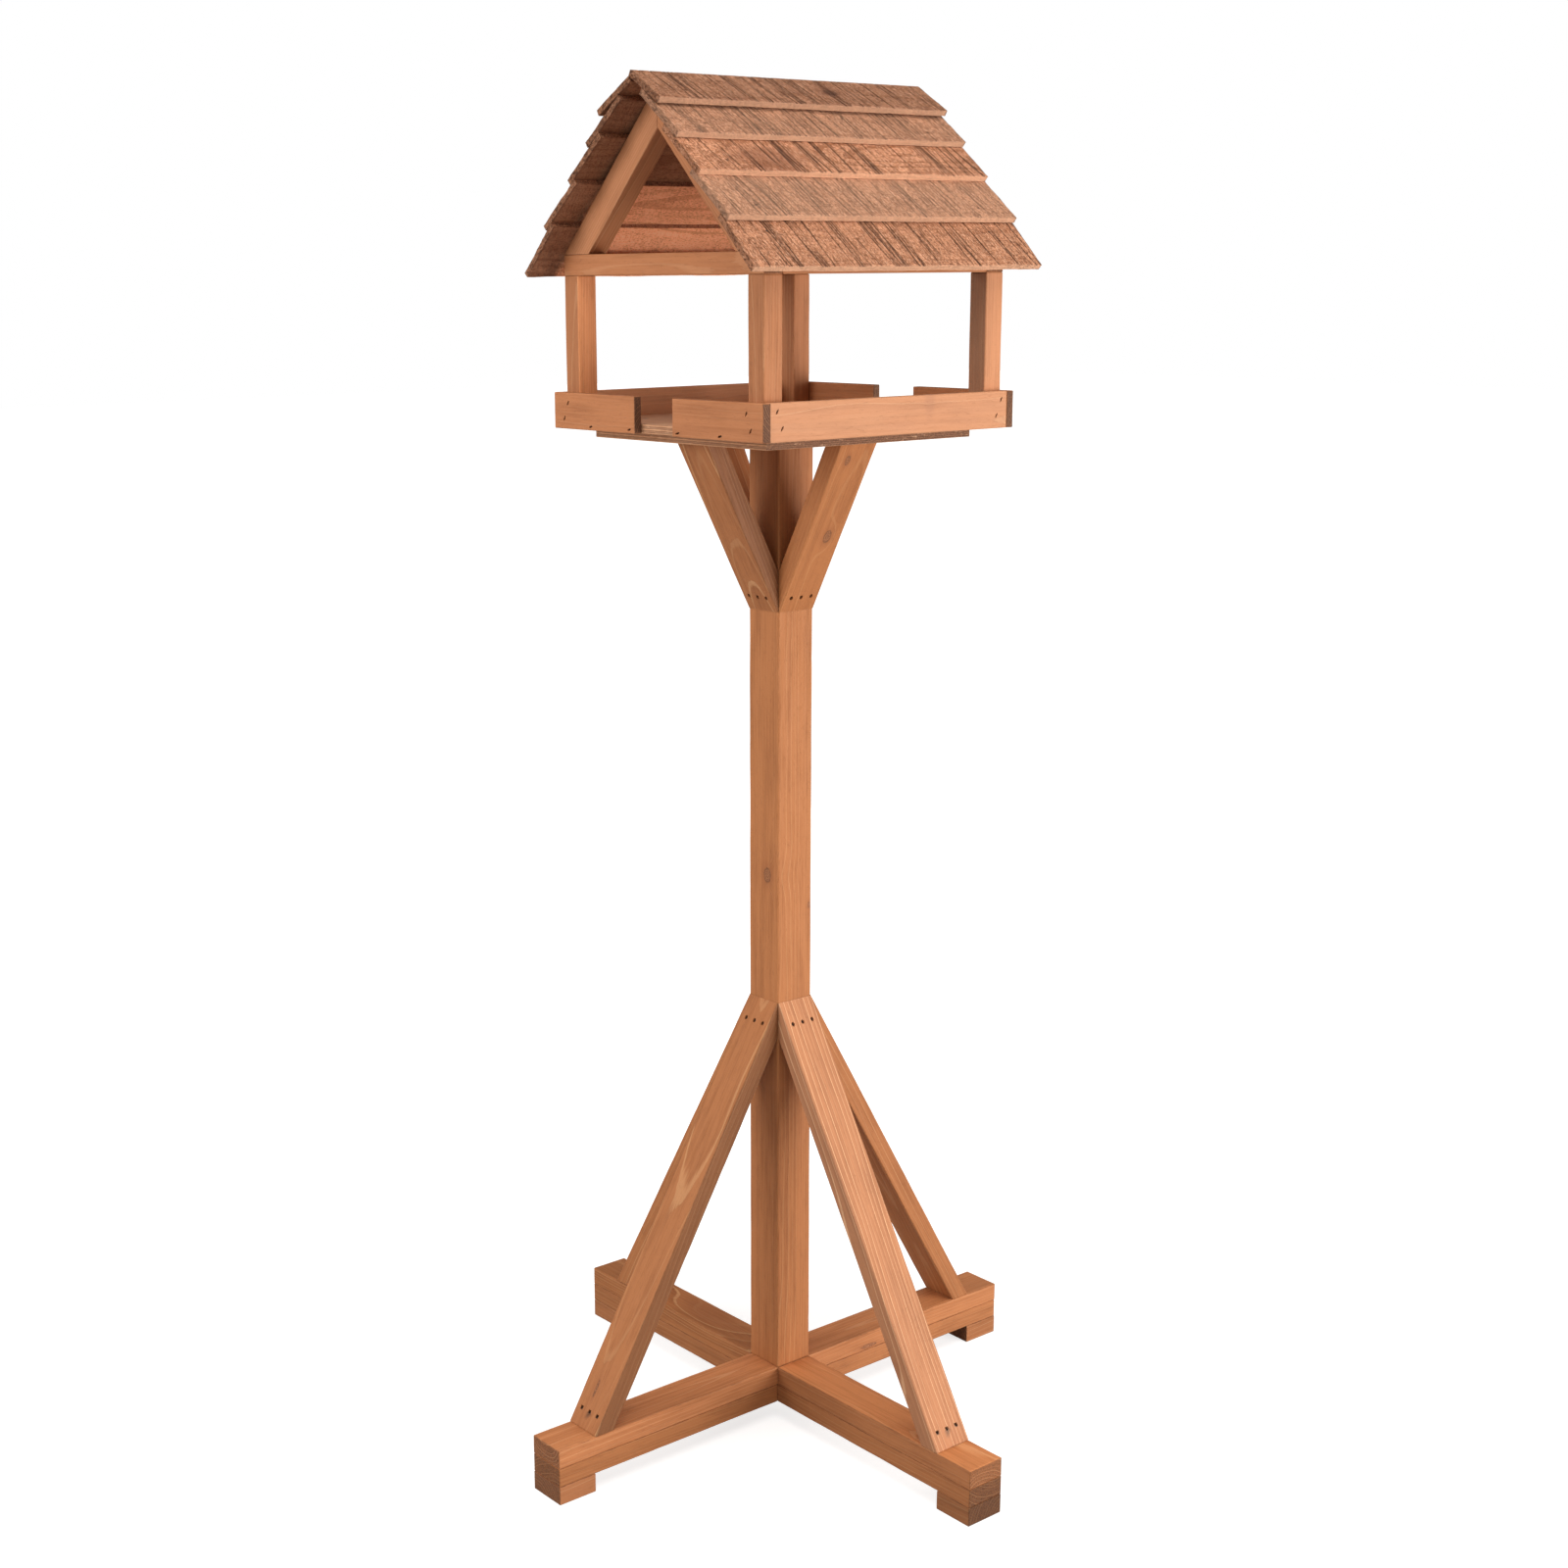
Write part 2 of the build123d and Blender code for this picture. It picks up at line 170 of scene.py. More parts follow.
def stainedPine(name, **changes):
    # Planed softwood in a thin orange-brown stain: the hard late wood of each ring stays pale,
    # the soft early wood drinks the stain, and end grain turns dark and speckled.
    spec = {"ringWidth": 3.0, "lineStart": 0.78, "bend": 16.0, "fray": 1.1, "lineAmount": 0.55,
            "stain": colour(0.415, 0.157, 0.060), "deep": colour(0.270, 0.091, 0.030),
            "pale": colour(0.66, 0.35, 0.18), "end": colour(0.075, 0.028, 0.011),
            "endLight": colour(0.24, 0.085, 0.030), "arris": colour(0.60, 0.30, 0.15),
            "arrisAmount": 0.4, "fibre": 0.5, "sheen": 0.5}
    spec.update(changes)
    sheet = NodeSheet(name)
    grain, phase, each, line, core, halo = growthRings(sheet, spec)
    tone, warmth, figure = sheet.split(sheet.attribute("look"))
    ending, wear, holeShade = sheet.split(sheet.attribute("spots"))
    fibre = sheet.noise(grain, (0.55, 0.55, 1 / 60), 4.0, 0.7)
    streak = sheet.noise(grain, (0.16, 0.16, 1 / 190), 2.0, 0.5)
    fleck = sheet.between(sheet.noise(grain, (1.3, 1.3, 1 / 7), 2.0, 0.6), 0.60, 0.74)
    blotch = sheet.noise(grain, (1 / 26, 1 / 26, 1 / 70), 3.0, 0.55)
    # body colour: early wood, darker towards the ring's end, streaked along the fibres
    soak = sheet.math("MULTIPLY", phase, sheet.math("MULTIPLY_ADD", each, 0.25, 0.12))
    soak = sheet.math("MULTIPLY", soak, figure)
    swing = 0.5 * spec["fibre"]
    soak = sheet.math("ADD", soak, sheet.between(fibre, 0.28, 0.72, -swing, swing))
    soak = sheet.math("ADD", soak, sheet.between(streak, 0.3, 0.7, -0.22, 0.22))
    soak = sheet.math("ADD", soak, sheet.between(blotch, 0.3, 0.75, -0.12, 0.3), clamp=True)
    body = sheet.mix(soak, spec["stain"], spec["deep"])
    paleness = sheet.math("MULTIPLY", line, sheet.math("MULTIPLY", figure, spec["lineAmount"]), clamp=True)
    paleness = sheet.math("MULTIPLY", paleness, sheet.between(fibre, 0.25, 0.6, 0.45, 1.0))
    body = sheet.mix(paleness, body, spec["pale"])
    body = sheet.layer(body, fleck, 0.30, colour(0.19, 0.07, 0.03))
    # knots: a smoky halo, a hard core and a ring of bark round the core
    body = sheet.layer(body, halo, 0.35, colour(0.26, 0.085, 0.035))
    swirl = sheet.noise(grain, (0.9, 0.9, 0.9), 3.0, 0.6)
    knot = sheet.mix(sheet.between(swirl, 0.35, 0.65), colour(0.14, 0.05, 0.024), colour(0.36, 0.15, 0.07))
    body = sheet.layer(body, core, 0.85, knot)
    bark = sheet.math("MULTIPLY", core, sheet.math("SUBTRACT", 1.0, sheet.between(core, 0.55, 1.0)))
    body = sheet.layer(body, bark, 1.0, colour(0.06, 0.022, 0.011), clamp=True)
    # end grain
    speck = sheet.noise(grain, (0.8, 0.8, 0.8), 3.0, 0.7)
    endWood = sheet.mix(sheet.between(speck, 0.36, 0.64), spec["end"], spec["endLight"])
    endWood = sheet.mix(sheet.between(phase, 0.45, 0.95, 0.0, 0.7), endWood, colour(0.10, 0.035, 0.013))
    endWood = sheet.layer(endWood, line, 0.75, colour(0.42, 0.20, 0.095))
    body = sheet.layer(body, ending, 0.92, endWood)
    # arrises paler in patches of rubbed wear, except on the arm planks, whose near-black arris colour paints
    # shade along the crevices where the stacked layers meet; and painted shade darkens the inside of nail and
    # screw holes
    arrisPatches = sheet.between(sheet.noise(grain, (1 / 9, 1 / 9, 1 / 14), 3.0, 0.6), 0.35, 0.62)
    body = sheet.layer(body, sheet.math("MULTIPLY", wear, arrisPatches), spec["arrisAmount"], spec["arris"])
    body = sheet.layer(body, holeShade, 0.8, colour(0.045, 0.02, 0.012))
    body = sheet.toneAndPaintedSheen(body, tone, warmth)
    rough = sheet.between(fibre, 0.2, 0.8, 0.62 - 0.1 * spec["sheen"], 0.80 - 0.1 * spec["sheen"])
    height = sheet.math("MULTIPLY_ADD", line, 0.35, sheet.math("MULTIPLY", fibre, 0.9))
    height = sheet.math("MULTIPLY_ADD", fleck, -0.6, height)
    height = sheet.math("MULTIPLY_ADD", sheet.math("MULTIPLY", ending, speck), 2.5, height)
    return sheet.surface(body, rough, height, 0.00022, 0.3)


def sawnPine(name, **changes):
    # Rough sawn board: fuzzy fibres lie along the board, and fine saw marks cross it on a slant.
    # The deep scratches are in the mesh, and the groove channel paints shade into them and into the pin dents,
    # darkening them as recesses.
    spec = {"ringWidth": 4.2, "lineStart": 0.62, "bend": 22.0, "fray": 1.6,
            "stain": colour(0.43, 0.193, 0.103), "deep": colour(0.25, 0.095, 0.043),
            "pale": colour(0.66, 0.38, 0.24), "end": colour(0.085, 0.030, 0.012), "slant": -0.18}
    spec.update(changes)
    sheet = NodeSheet(name)
    grain, phase, _, line, core, halo = growthRings(sheet, spec)
    tone, warmth, figure = sheet.split(sheet.attribute("look"))
    ending, wear, groove = sheet.split(sheet.attribute("spots"))
    x, y, z = sheet.split(grain)
    # a figure below zero marks the smoother underside
    rough = sheet.between(figure, -0.05, 0.05, 0.12, 1.0)
    figure = sheet.math("ABSOLUTE", figure)
    sheared = sheet.join(x, y, sheet.math("MULTIPLY_ADD", y, spec["slant"], z))
    marks = sheet.noise(sheared, (0.3, 1 / 22, 0.85), 1.0, 0.6)
    mark = sheet.between(marks, 0.56, 0.64)
    fuzz = sheet.noise(grain, (0.7, 0.7, 0.3), 4.0, 0.75)
    speck = sheet.between(sheet.noise(sheared, (0.7, 0.28, 0.85), 3.0, 0.7), 0.54, 0.60)
    hair = sheet.between(sheet.noise(sheared, (0.9, 0.30, 1.1), 3.0, 0.7), 0.52, 0.61)
    blotch = sheet.noise(grain, (1 / 22, 1 / 22, 1 / 60), 3.0, 0.6)
    soak = sheet.between(fuzz, 0.3, 0.7, -0.8, 0.9)
    soak = sheet.math("ADD", soak, sheet.between(blotch, 0.3, 0.72, -0.15, 0.4))
    soak = sheet.math("ADD", soak, sheet.math("MULTIPLY", phase, 0.22), clamp=True)
    body = sheet.mix(soak, spec["stain"], spec["deep"])
    body = sheet.layer(body, line, sheet.math("MULTIPLY", figure, 0.7), spec["deep"], clamp=True)
    for mask, amount, tint in ((hair, 0.6, spec["pale"]), (speck, 0.75, colour(0.11, 0.04, 0.019)),
                               (mark, 0.6, colour(0.13, 0.048, 0.022))):
        body = sheet.layer(body, mask, sheet.math("MULTIPLY", rough, amount), tint)
    body = sheet.layer(body, halo, 0.5, colour(0.17, 0.06, 0.03))
    body = sheet.layer(body, core, 0.7, colour(0.10, 0.04, 0.02))
    body = sheet.layer(body, ending, sheet.between(speck, 0.0, 1.0, 0.65, 0.95), spec["end"])
    body = sheet.layer(body, wear, 0.55, spec["pale"])
    # painted shade in the scratches and pin dents
    body = sheet.layer(body, groove, 1.0, colour(0.040, 0.015, 0.008), clamp=True)
    body = sheet.toneAndPaintedSheen(body, tone, warmth)
    height = sheet.math("MULTIPLY_ADD", mark, -0.8, fuzz)
    height = sheet.math("MULTIPLY_ADD", speck, -0.7, height)
    height = sheet.math("MULTIPLY_ADD", sheet.math("MULTIPLY", ending, speck), -2.0, height)
    return sheet.surface(body, sheet.between(fuzz, 0.2, 0.8, 0.72, 0.9), height, 0.00045, 0.22)


def plywood(name):
    # Five thin veneers with dark glue lines between. Edges that face front or back show long grain,
    # and edges that face left or right show rough dark end grain.
    sheet = NodeSheet(name)
    grain = sheet.attribute("grain")
    wear = sheet.split(sheet.attribute("spots"))[1]
    normal = sheet.split(sheet.add("TexCoord", {}).outputs["Normal"])
    facing = sheet.between(sheet.math("ABSOLUTE", normal[2]), 0.5, 0.8)
    side = sheet.between(sheet.math("ABSOLUTE", normal[0]), 0.5, 0.8)
    veneer = 1.86
    wander = sheet.math("MULTIPLY_ADD", sheet.noise(grain, (0.2, 1 / 30, 1 / 30), 2.0), 0.8,
                        sheet.split(grain)[0])
    layer = sheet.math("DIVIDE", wander, veneer)
    crosswise = sheet.math("MODULO", sheet.math("FLOOR", layer), 2.0)
    within = sheet.math("FRACT", layer)
    glue = sheet.math("SUBTRACT", 1.0, sheet.math("MULTIPLY", sheet.between(within, 0.0, 0.12),
                                                  sheet.between(within, 1.0, 0.9)))
    cut = sheet.math("MAXIMUM", sheet.math("MULTIPLY", crosswise, 0.5), sheet.math("MULTIPLY", side, 0.9))
    dots = sheet.noise(grain, (1.3, 1.3, 1.1), 3.0, 0.7)
    long = sheet.noise(grain, (2.2, 1 / 9, 1 / 9), 2.0, 0.6)
    longWood = sheet.mix(sheet.between(long, 0.35, 0.65), colour(0.62, 0.33, 0.18), colour(0.44, 0.20, 0.10))
    endWood = sheet.mix(sheet.between(dots, 0.40, 0.60), colour(0.09, 0.042, 0.026),
                        colour(0.27, 0.125, 0.065))
    edge = sheet.mix(cut, longWood, endWood)
    edge = sheet.layer(edge, glue, 0.45, colour(0.075, 0.033, 0.018))
    chips = sheet.between(sheet.noise(grain, (1 / 1.6, 1 / 7, 1 / 7), 3.0, 0.6), 0.60, 0.70)
    edge = sheet.layer(edge, chips, 0.7, colour(0.62, 0.37, 0.22))
    figure = sheet.noise(grain, (1.0, 1 / 7, 1 / 42), 3.0, 0.6)
    fibre = sheet.noise(grain, (1.0, 1.1, 1 / 30), 3.0, 0.6)
    top = sheet.mix(sheet.between(figure, 0.35, 0.65), colour(0.72, 0.40, 0.225), colour(0.60, 0.31, 0.17))
    top = sheet.mix(sheet.between(fibre, 0.35, 0.68, 0.0, 0.5), top, colour(0.48, 0.235, 0.125))
    body = sheet.mix(facing, edge, top)
    body = sheet.layer(body, wear, 0.3, colour(0.5, 0.25, 0.13))
    height = sheet.math("MULTIPLY_ADD", sheet.math("SUBTRACT", 1.0, facing),
                        sheet.math("MULTIPLY_ADD", dots, 1.8, sheet.math("MULTIPLY", glue, -1.2)),
                        sheet.math("MULTIPLY", fibre, 0.6))
    return sheet.surface(body, sheet.between(fibre, 0.2, 0.8, 0.6, 0.78), height, 0.0003, 0.25)


def zincSteel(name, tint=(0.30, 0.27, 0.24), metal=0.8):
    # dulled zinc: a mottled bluish grey with brown tarnish in patches
    sheet = NodeSheet(name)
    place = sheet.add("TexCoord", {}).outputs["Object"]
    mottle = sheet.noise(place, (900.0,) * 3, 3.0, 0.6)
    tarnish = sheet.noise(place, (260.0,) * 3, 3.0, 0.6)
    body = sheet.mix(sheet.between(mottle, 0.3, 0.7), colour(*tint), colour(*[0.6 * t for t in tint]))
    body = sheet.mix(sheet.between(tarnish, 0.45, 0.65, 0.0, 0.7), body, colour(0.10, 0.055, 0.032))
    return sheet.surface(body, sheet.between(mottle, 0.2, 0.8, 0.35, 0.6), mottle, 0.00004, 0.5, metal)


finishes = {
    "post": stainedPine("planedPost", ringWidth=2.2, lineAmount=0.42, bend=7.0, fray=0.4, fibre=0.6),
    # the arm planks' near-black arris colour paints shade along their arrises, where the stacked layers meet
    "arm": stainedPine("planedArm", ringWidth=3.6, lineAmount=0.40, bend=12.0, fray=0.5,
                       arris=colour(0.09, 0.034, 0.016), arrisAmount=0.85),
    "brace": stainedPine("planedBrace", ringWidth=4.8, lineAmount=0.62, bend=14.0, fray=0.6, lineStart=0.8),
    "bracket": stainedPine("planedBracket", ringWidth=3.8, lineAmount=0.62, bend=10.0, fray=0.5,
                           lineStart=0.8),
    "stick": stainedPine("planedStick", ringWidth=2.6, lineAmount=0.4, bend=9.0, fray=0.7, fibre=0.45),
    "rail": stainedPine("planedRail", ringWidth=2.3, lineAmount=0.28, bend=9.0, fray=0.4, fibre=0.4,
                        end=colour(0.035, 0.014, 0.007), endLight=colour(0.13, 0.052, 0.024)),
    "board": sawnPine("sawnBoard"),
    "ply": plywood("stainedPly"),
    "steel": zincSteel("dulledZinc"),
    "nail": zincSteel("darkNail", (0.03, 0.02, 0.015), 0.3),
}
print("finishes made:", len(finishes))


def ripple(points, seed, wavelength, waves=14):
    # smooth noise from about -1 to 1: the mean of sine waves in random directions
    dice = np.random.RandomState(seed)
    direction = dice.normal(size=(3, waves)) * (2 * pi / wavelength) * 0.6
    phase = dice.uniform(0, 2 * pi, waves)
    return np.sin(points @ direction + phase).sum(axis=1) / np.sqrt(waves)


def sideLines(half, radius, step, corners):
    # grid lines across one side of a block: on the arris at even turns, one just inside it, then about
    # a step apart
    arris = half - radius + radius * np.tan(np.linspace(pi / 4, 0, corners))
    core = half - radius - min(0.8 * mm, 0.2 * half)
    middle = np.linspace(-core, core, max(2, int(np.ceil(2 * core / step)) + 1))
    return np.concatenate([-arris, middle, arris[::-1]])


def gridQuads(first, second):
    u, v = np.meshgrid(first, second, indexing="ij")
    index = np.arange(u.size).reshape(u.shape)
    quads = np.stack([index[:-1, :-1], index[1:, :-1], index[1:, 1:], index[:-1, 1:]], -1).reshape(-1, 4)
    return u, v, quads


def blockSkin(lines, radius):
    # Each face of a block is a grid. A grid point is pulled back to the nearest point of a smaller inner
    # block, then pushed out by the radius along the line between the two, which rounds arrises and corners.
    half = np.array([line[-1] for line in lines])
    points, quads, start = [], [], 0
    for axis in range(3):
        first, second = (axis + 1) % 3, (axis + 2) % 3
        u, v, ring = gridQuads(lines[first], lines[second])
        for sign in (-1, 1):
            grid = np.empty((u.size, 3))
            grid[:, first], grid[:, second], grid[:, axis] = u.ravel(), v.ravel(), sign * half[axis]
            points.append(grid)
            quads.append((ring if sign > 0 else ring[:, ::-1]) + start)
            start += u.size
    points, quads = np.concatenate(points), np.concatenate(quads)
    _, keep, back = np.unique(np.round(points * 1e8).astype(np.int64), axis=0,
                              return_index=True, return_inverse=True)
    points, quads = points[keep], back.reshape(-1)[quads]
    inner = np.clip(points, radius - half, half - radius)
    outward = points - inner
    length = np.linalg.norm(outward, axis=1, keepdims=True)
    outward = outward / length
    onArris = (length[:, 0] > radius * 1.0001).astype(float)
    return inner + radius * outward, quads, outward, onArris


def fillMesh(name, points, quads):
    mesh = bpy.data.meshes.new(name)
    mesh.vertices.add(len(points))
    mesh.vertices.foreach_set("co", np.ascontiguousarray(points, dtype=np.float32).ravel())
    mesh.loops.add(quads.size)
    mesh.loops.foreach_set("vertex_index", quads.astype(np.int32).ravel())
    mesh.polygons.add(len(quads))
    mesh.polygons.foreach_set("loop_start", (np.arange(len(quads)) * quads.shape[1]).astype(np.int32))
    mesh.update(calc_edges=True)
    mesh.validate()
    return mesh


def setAttribute(mesh, name, values):
    attribute = mesh.attributes.get(name)
    if attribute is None:
        attribute = mesh.attributes.new(name, "FLOAT_VECTOR", "POINT")
    attribute.data.foreach_set("vector", np.ascontiguousarray(values, dtype=np.float32).ravel())


def meshPoints(mesh):
    points = np.empty(len(mesh.vertices) * 3, dtype=np.float32)
    mesh.vertices.foreach_get("co", points)
    return points.reshape(-1, 3).astype(float)


def showPiece(name, mesh, finish, *nodes):
    mesh.polygons.foreach_set("use_smooth", np.ones(len(mesh.polygons), dtype=bool))
    mesh.set_sharp_from_angle(angle=sharpAngle)
    mesh.materials.clear()
    mesh.materials.append(finishes[finish])
    piece = bpy.data.objects.new(name, mesh)
    bpy.context.scene.collection.objects.link(piece)
    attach(piece, "root")
    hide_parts(*nodes)
    return piece


def unit(vector):
    vector = np.asarray(vector, dtype=float)
    return vector / np.linalg.norm(vector)


def turned(point, quarter):
    # a point or direction after quarter turns about the post's axis
    x, y, z = point
    for _ in range(quarter):
        x, y = -y, x
    return np.array([x, y, z], dtype=float)


def tubeFaces(rings, sides):
    # triangles of a closed tube whose rings of points are followed by its first and last ring's centres
    a = np.arange(sides)
    b = (a + 1) % sides
    low = (rings - 1) * sides
    walls = []
    for k in range(0, low, sides):
        walls.append(np.stack([a + k, b + k, b + k + sides], -1))
        walls.append(np.stack([a + k, b + k + sides, a + k + sides], -1))
    first = np.stack([b, a, np.full(sides, rings * sides)], -1)
    last = np.stack([a + low, b + low, np.full(sides, rings * sides + 1)], -1)
    return np.concatenate(walls + [first, last])


def ellipseCutter(spot):
    # a short plug driven in along its axis: an ellipse swept in depth, wider at the surface
    sides = 14
    point, outward = np.asarray(spot["point"], float), unit(spot["outward"])
    long = np.asarray(spot.get("long", (0, 0, 1)), float)
    long = unit(long - outward * (long @ outward))
    wide = np.cross(long, outward)
    angle = np.linspace(0, 2 * pi, sides, endpoint=False)
    dice = np.random.RandomState(int(abs(point @ [7e5, 3e5, 1e5])) % 9973)
    ragged = 1 + 0.12 * dice.uniform(-1, 1, sides)
    half = np.asarray(spot["size"], float) / 2
    rim = ((np.cos(angle) * ragged * half[0])[:, None] * long
           + (np.sin(angle) * ragged * half[1])[:, None] * wide)
    depths = spot.get("depths", ((0.6 * mm, 1.1), (-spot["deep"], 0.85)))
    rings = [point + rim * scale + outward * depth for depth, scale in depths]
    centres = [rings[0].mean(axis=0), rings[-1].mean(axis=0)]
    return np.concatenate(rings + [np.array(centres)]), tubeFaces(len(rings), sides)


def cutOut(mesh, cutters):
    # takes the joined cutters out of the mesh
    points, faces, start = [], [], 0
    for cutPoints, cutFaces in cutters:
        points.append(cutPoints)
        faces.append(cutFaces + start)
        start += len(cutPoints)
    blade = bpy.data.objects.new("blade", fillMesh("blade", np.concatenate(points), np.concatenate(faces)))
    body = bpy.data.objects.new("body", mesh)
    for thing in (blade, body):
        bpy.context.scene.collection.objects.link(thing)
    cut = body.modifiers.new("cut", "BOOLEAN")
    cut.operation, cut.solver, cut.object = "DIFFERENCE", "EXACT", blade
    graph = bpy.context.evaluated_depsgraph_get()
    result = bpy.data.meshes.new_from_object(body.evaluated_get(graph))
    for thing in (blade, body):
        old = thing.data
        bpy.data.objects.remove(thing)
        bpy.data.meshes.remove(old)
    return result


def blockCutter(low, high):
    lines = [np.array([-0.5, 0.5]) * (h - l) for l, h in zip(low, high)]
    points, quads, _, _ = blockSkin(lines, 0.0001 * mm)
    faces = np.concatenate([quads[:, [0, 1, 2]], quads[:, [0, 2, 3]]])
    return points + (np.array(low) + np.array(high)) / 2, faces


def timber(name, node, start, end, face, size, finish, seed, cuts=None, radius=1.0 * mm, step=7 * mm,
           pith=(38, 6), tilt=(0.012, 0.004), knots=(), look=(1.0, 0.0, 1.0), spots=(), notches=(),
           sideTone=1.0):
    # A stick whose middle line runs from start to end. Its section is size[0] thick along the face direction
    # and size[1] wide. The two ends are planes through the middle line's ends, square unless cuts gives
    # their normals. Grain attributes are plain functions of the place, so they hold on any mesh. The painted
    # side shading multiplies the tone of the two faces across the width: painted light above 1, painted shade
    # below 1.
    start, end = np.asarray(start, float), np.asarray(end, float)
    along = unit(end - start)
    face = np.asarray(face, float)
    face = unit(face - along * (face @ along))
    side = np.cross(along, face)
    length = np.linalg.norm(end - start)
    middle = (start + end) / 2
    lines = [sideLines(size[0] / 2, radius, step * 0.8, 4), sideLines(size[1] / 2, radius, step * 0.8, 4),
             sideLines(length / 2, radius, step, 4)]
    local, quads, outward, onArris = blockSkin(lines, radius)
    # arrises wander in and out, and are dented here and there
    dents = 0.55 * np.clip(ripple(local, seed + 1, 0.035) - 1.1, 0, 1)
    wander = 0.12 + 0.12 * ripple(local, seed, 0.06) + dents
    local = local - outward * (onArris * np.clip(wander, 0, 0.9) * mm)[:, None]
    # sawn ends: the along coordinate is stretched so that each end lies on its plane
    shift = []
    for place, normal in zip((start, end), cuts or (along, along)):
        normal = unit(normal)
        shift.append(-(local[:, 0] * (normal @ face) + local[:, 1] * (normal @ side)) / (normal @ along))
    share = local[:, 2] / length + 0.5
    local[:, 2] += shift[0] * (1 - share) + shift[1] * share
    axes = np.stack([face, side, along])
    mesh = fillMesh(name, middle + local @ axes, quads)
    cutters = [ellipseCutter(spot) for spot in spots] + [blockCutter(*notch) for notch in notches]
    if cutters:
        mesh = cutOut(mesh, cutters)
    place = (meshPoints(mesh) - middle) @ axes.T
    paint(mesh, place, start, end, axes, middle, size, cuts, spots, seed, pith, tilt, knots, look)
    # painted light and shade on the two side faces
    if sideTone != 1.0:
        onSide = np.clip((np.abs(place[:, 1]) - size[1] / 2 + 1.2 * mm) / (0.6 * mm), 0, 1)
        shades = np.tile(np.asarray(look, float), (len(place), 1))
        shades[:, 0] *= 1 + (sideTone - 1) * onSide
        setAttribute(mesh, "look", shades)
    return showPiece(name, mesh, finish, node)


def paint(mesh, place, start, end, axes, middle, size, cuts, spots, seed, pith, tilt, knots, look):
    # writes where each point lies in the log, how far it is from each knot, and where ends, arrises and
    # holes are
    farOff = 60.0
    dice = np.random.RandomState(seed)
    inLog = place / mm + np.array([0, 0, dice.uniform(-4000, 4000)])
    for axis in (0, 1):
        inLog[:, axis] += pith[axis] - tilt[axis] * place[:, 2] / mm
    setAttribute(mesh, "grain", inLog)
    for label, knot in zip(("knotA", "knotB"), list(knots) + [None, None]):
        offset = np.tile((farOff, farOff, 0.0), (len(place), 1))
        if knot:
            away = place - (np.asarray(knot["at"]) * mm - middle) @ axes.T
            axis = knot.get("axis", 1)
            offset[:, 0] = away[:, axis] / mm / knot["size"][0] + 0.02 * away[:, 1 - axis] / mm
            offset[:, 1] = away[:, 2] / mm / knot["size"][1]
            offset[:, 2] = knot["rise"]
        setAttribute(mesh, label, offset)
    world = place @ axes + middle
    toEnd = []
    for point, normal, sign in zip((start, end), cuts or (axes[2], axes[2]), (-1, 1)):
        normal = unit(normal)
        normal = normal * np.sign(normal @ axes[2]) * sign
        toEnd.append(np.abs((world - point) @ normal))
    toEnd = np.minimum(*toEnd)
    toSides = [size[axis] / 2 - np.abs(place[:, axis]) for axis in (0, 1)]
    depth = np.sort(np.stack([*toSides, toEnd]), axis=0)
    ending = np.clip(1.3 - toEnd / (0.35 * mm), 0, 1)
    wear = np.clip(1.15 - depth[1] / (0.75 * mm), 0, 1)
    holeShade = np.zeros(len(place))
    for spot in spots:
        away = world - np.asarray(spot["point"], float)
        out = unit(spot["outward"])
        deep = away @ out
        flat = np.linalg.norm(away - deep[:, None] * out, axis=1)
        reach = max(spot["size"]) / 2
        holeShade = np.maximum(holeShade, (flat < reach * 1.25) * np.clip(-0.15 - deep / (0.4 * mm), 0, 1))
    setAttribute(mesh, "spots", np.stack([ending, wear * (1 - ending), holeShade], -1))
    setAttribute(mesh, "look", np.tile(np.asarray(look, float), (len(place), 1)))


def nailPiece(name, node, nails, finish="nail"):
    # every nail or screw of a group is a turned shape: rows of (distance from its top, radius) carried round
    points, faces, start = [], [], 0
    for nail in nails:
        sides = nail.get("sides", 14)
        outward = unit(nail["outward"])
        helper = np.array([0, 0, 1.0]) if abs(outward[2]) < 0.9 else np.array([1.0, 0, 0])
        first = unit(np.cross(helper, outward))
        second = np.cross(outward, first)
        rows = np.array(nail["rows"]) * mm
        angle = np.linspace(0, 2 * pi, sides, endpoint=False)
        lobe = 1 - nail.get("recess", 0.0) * (np.cos(2 * angle) ** 2 > 0.35)
        radius = rows[:, 1][:, None] * np.where((np.arange(len(rows)) < nail.get("lobed", 0))[:, None],
                                                lobe[None, :], 1.0)
        ring = (radius * np.cos(angle))[:, :, None] * first + (radius * np.sin(angle))[:, :, None] * second
        ring = ring + np.asarray(nail["point"], float) - (rows[:, 0][:, None, None]) * outward
        caps = np.array([ring[0].mean(axis=0), ring[-1].mean(axis=0)])
        points.append(np.concatenate([ring.reshape(-1, 3), caps]))
        faces.append(tubeFaces(len(rows), sides)[:, ::-1] + start)
        start += len(points[-1])
    mesh = fillMesh(name, np.concatenate(points), np.concatenate(faces))
    return showPiece(name, mesh, finish, node)


def nailRows(headWide, headHigh, shankWide, length, sunk):
    # a slightly domed head, its rounded rim, the shank and a blunt point, as distance down and radius
    head, shank = headWide / 2, shankWide / 2
    return [(sunk, 0.45 * head), (sunk + 0.05, 0.8 * head), (sunk + 0.18, head), (sunk + headHigh, head),
            (sunk + headHigh, shank), (length - 2 * shank, shank), (length, 0.2 * shank)]


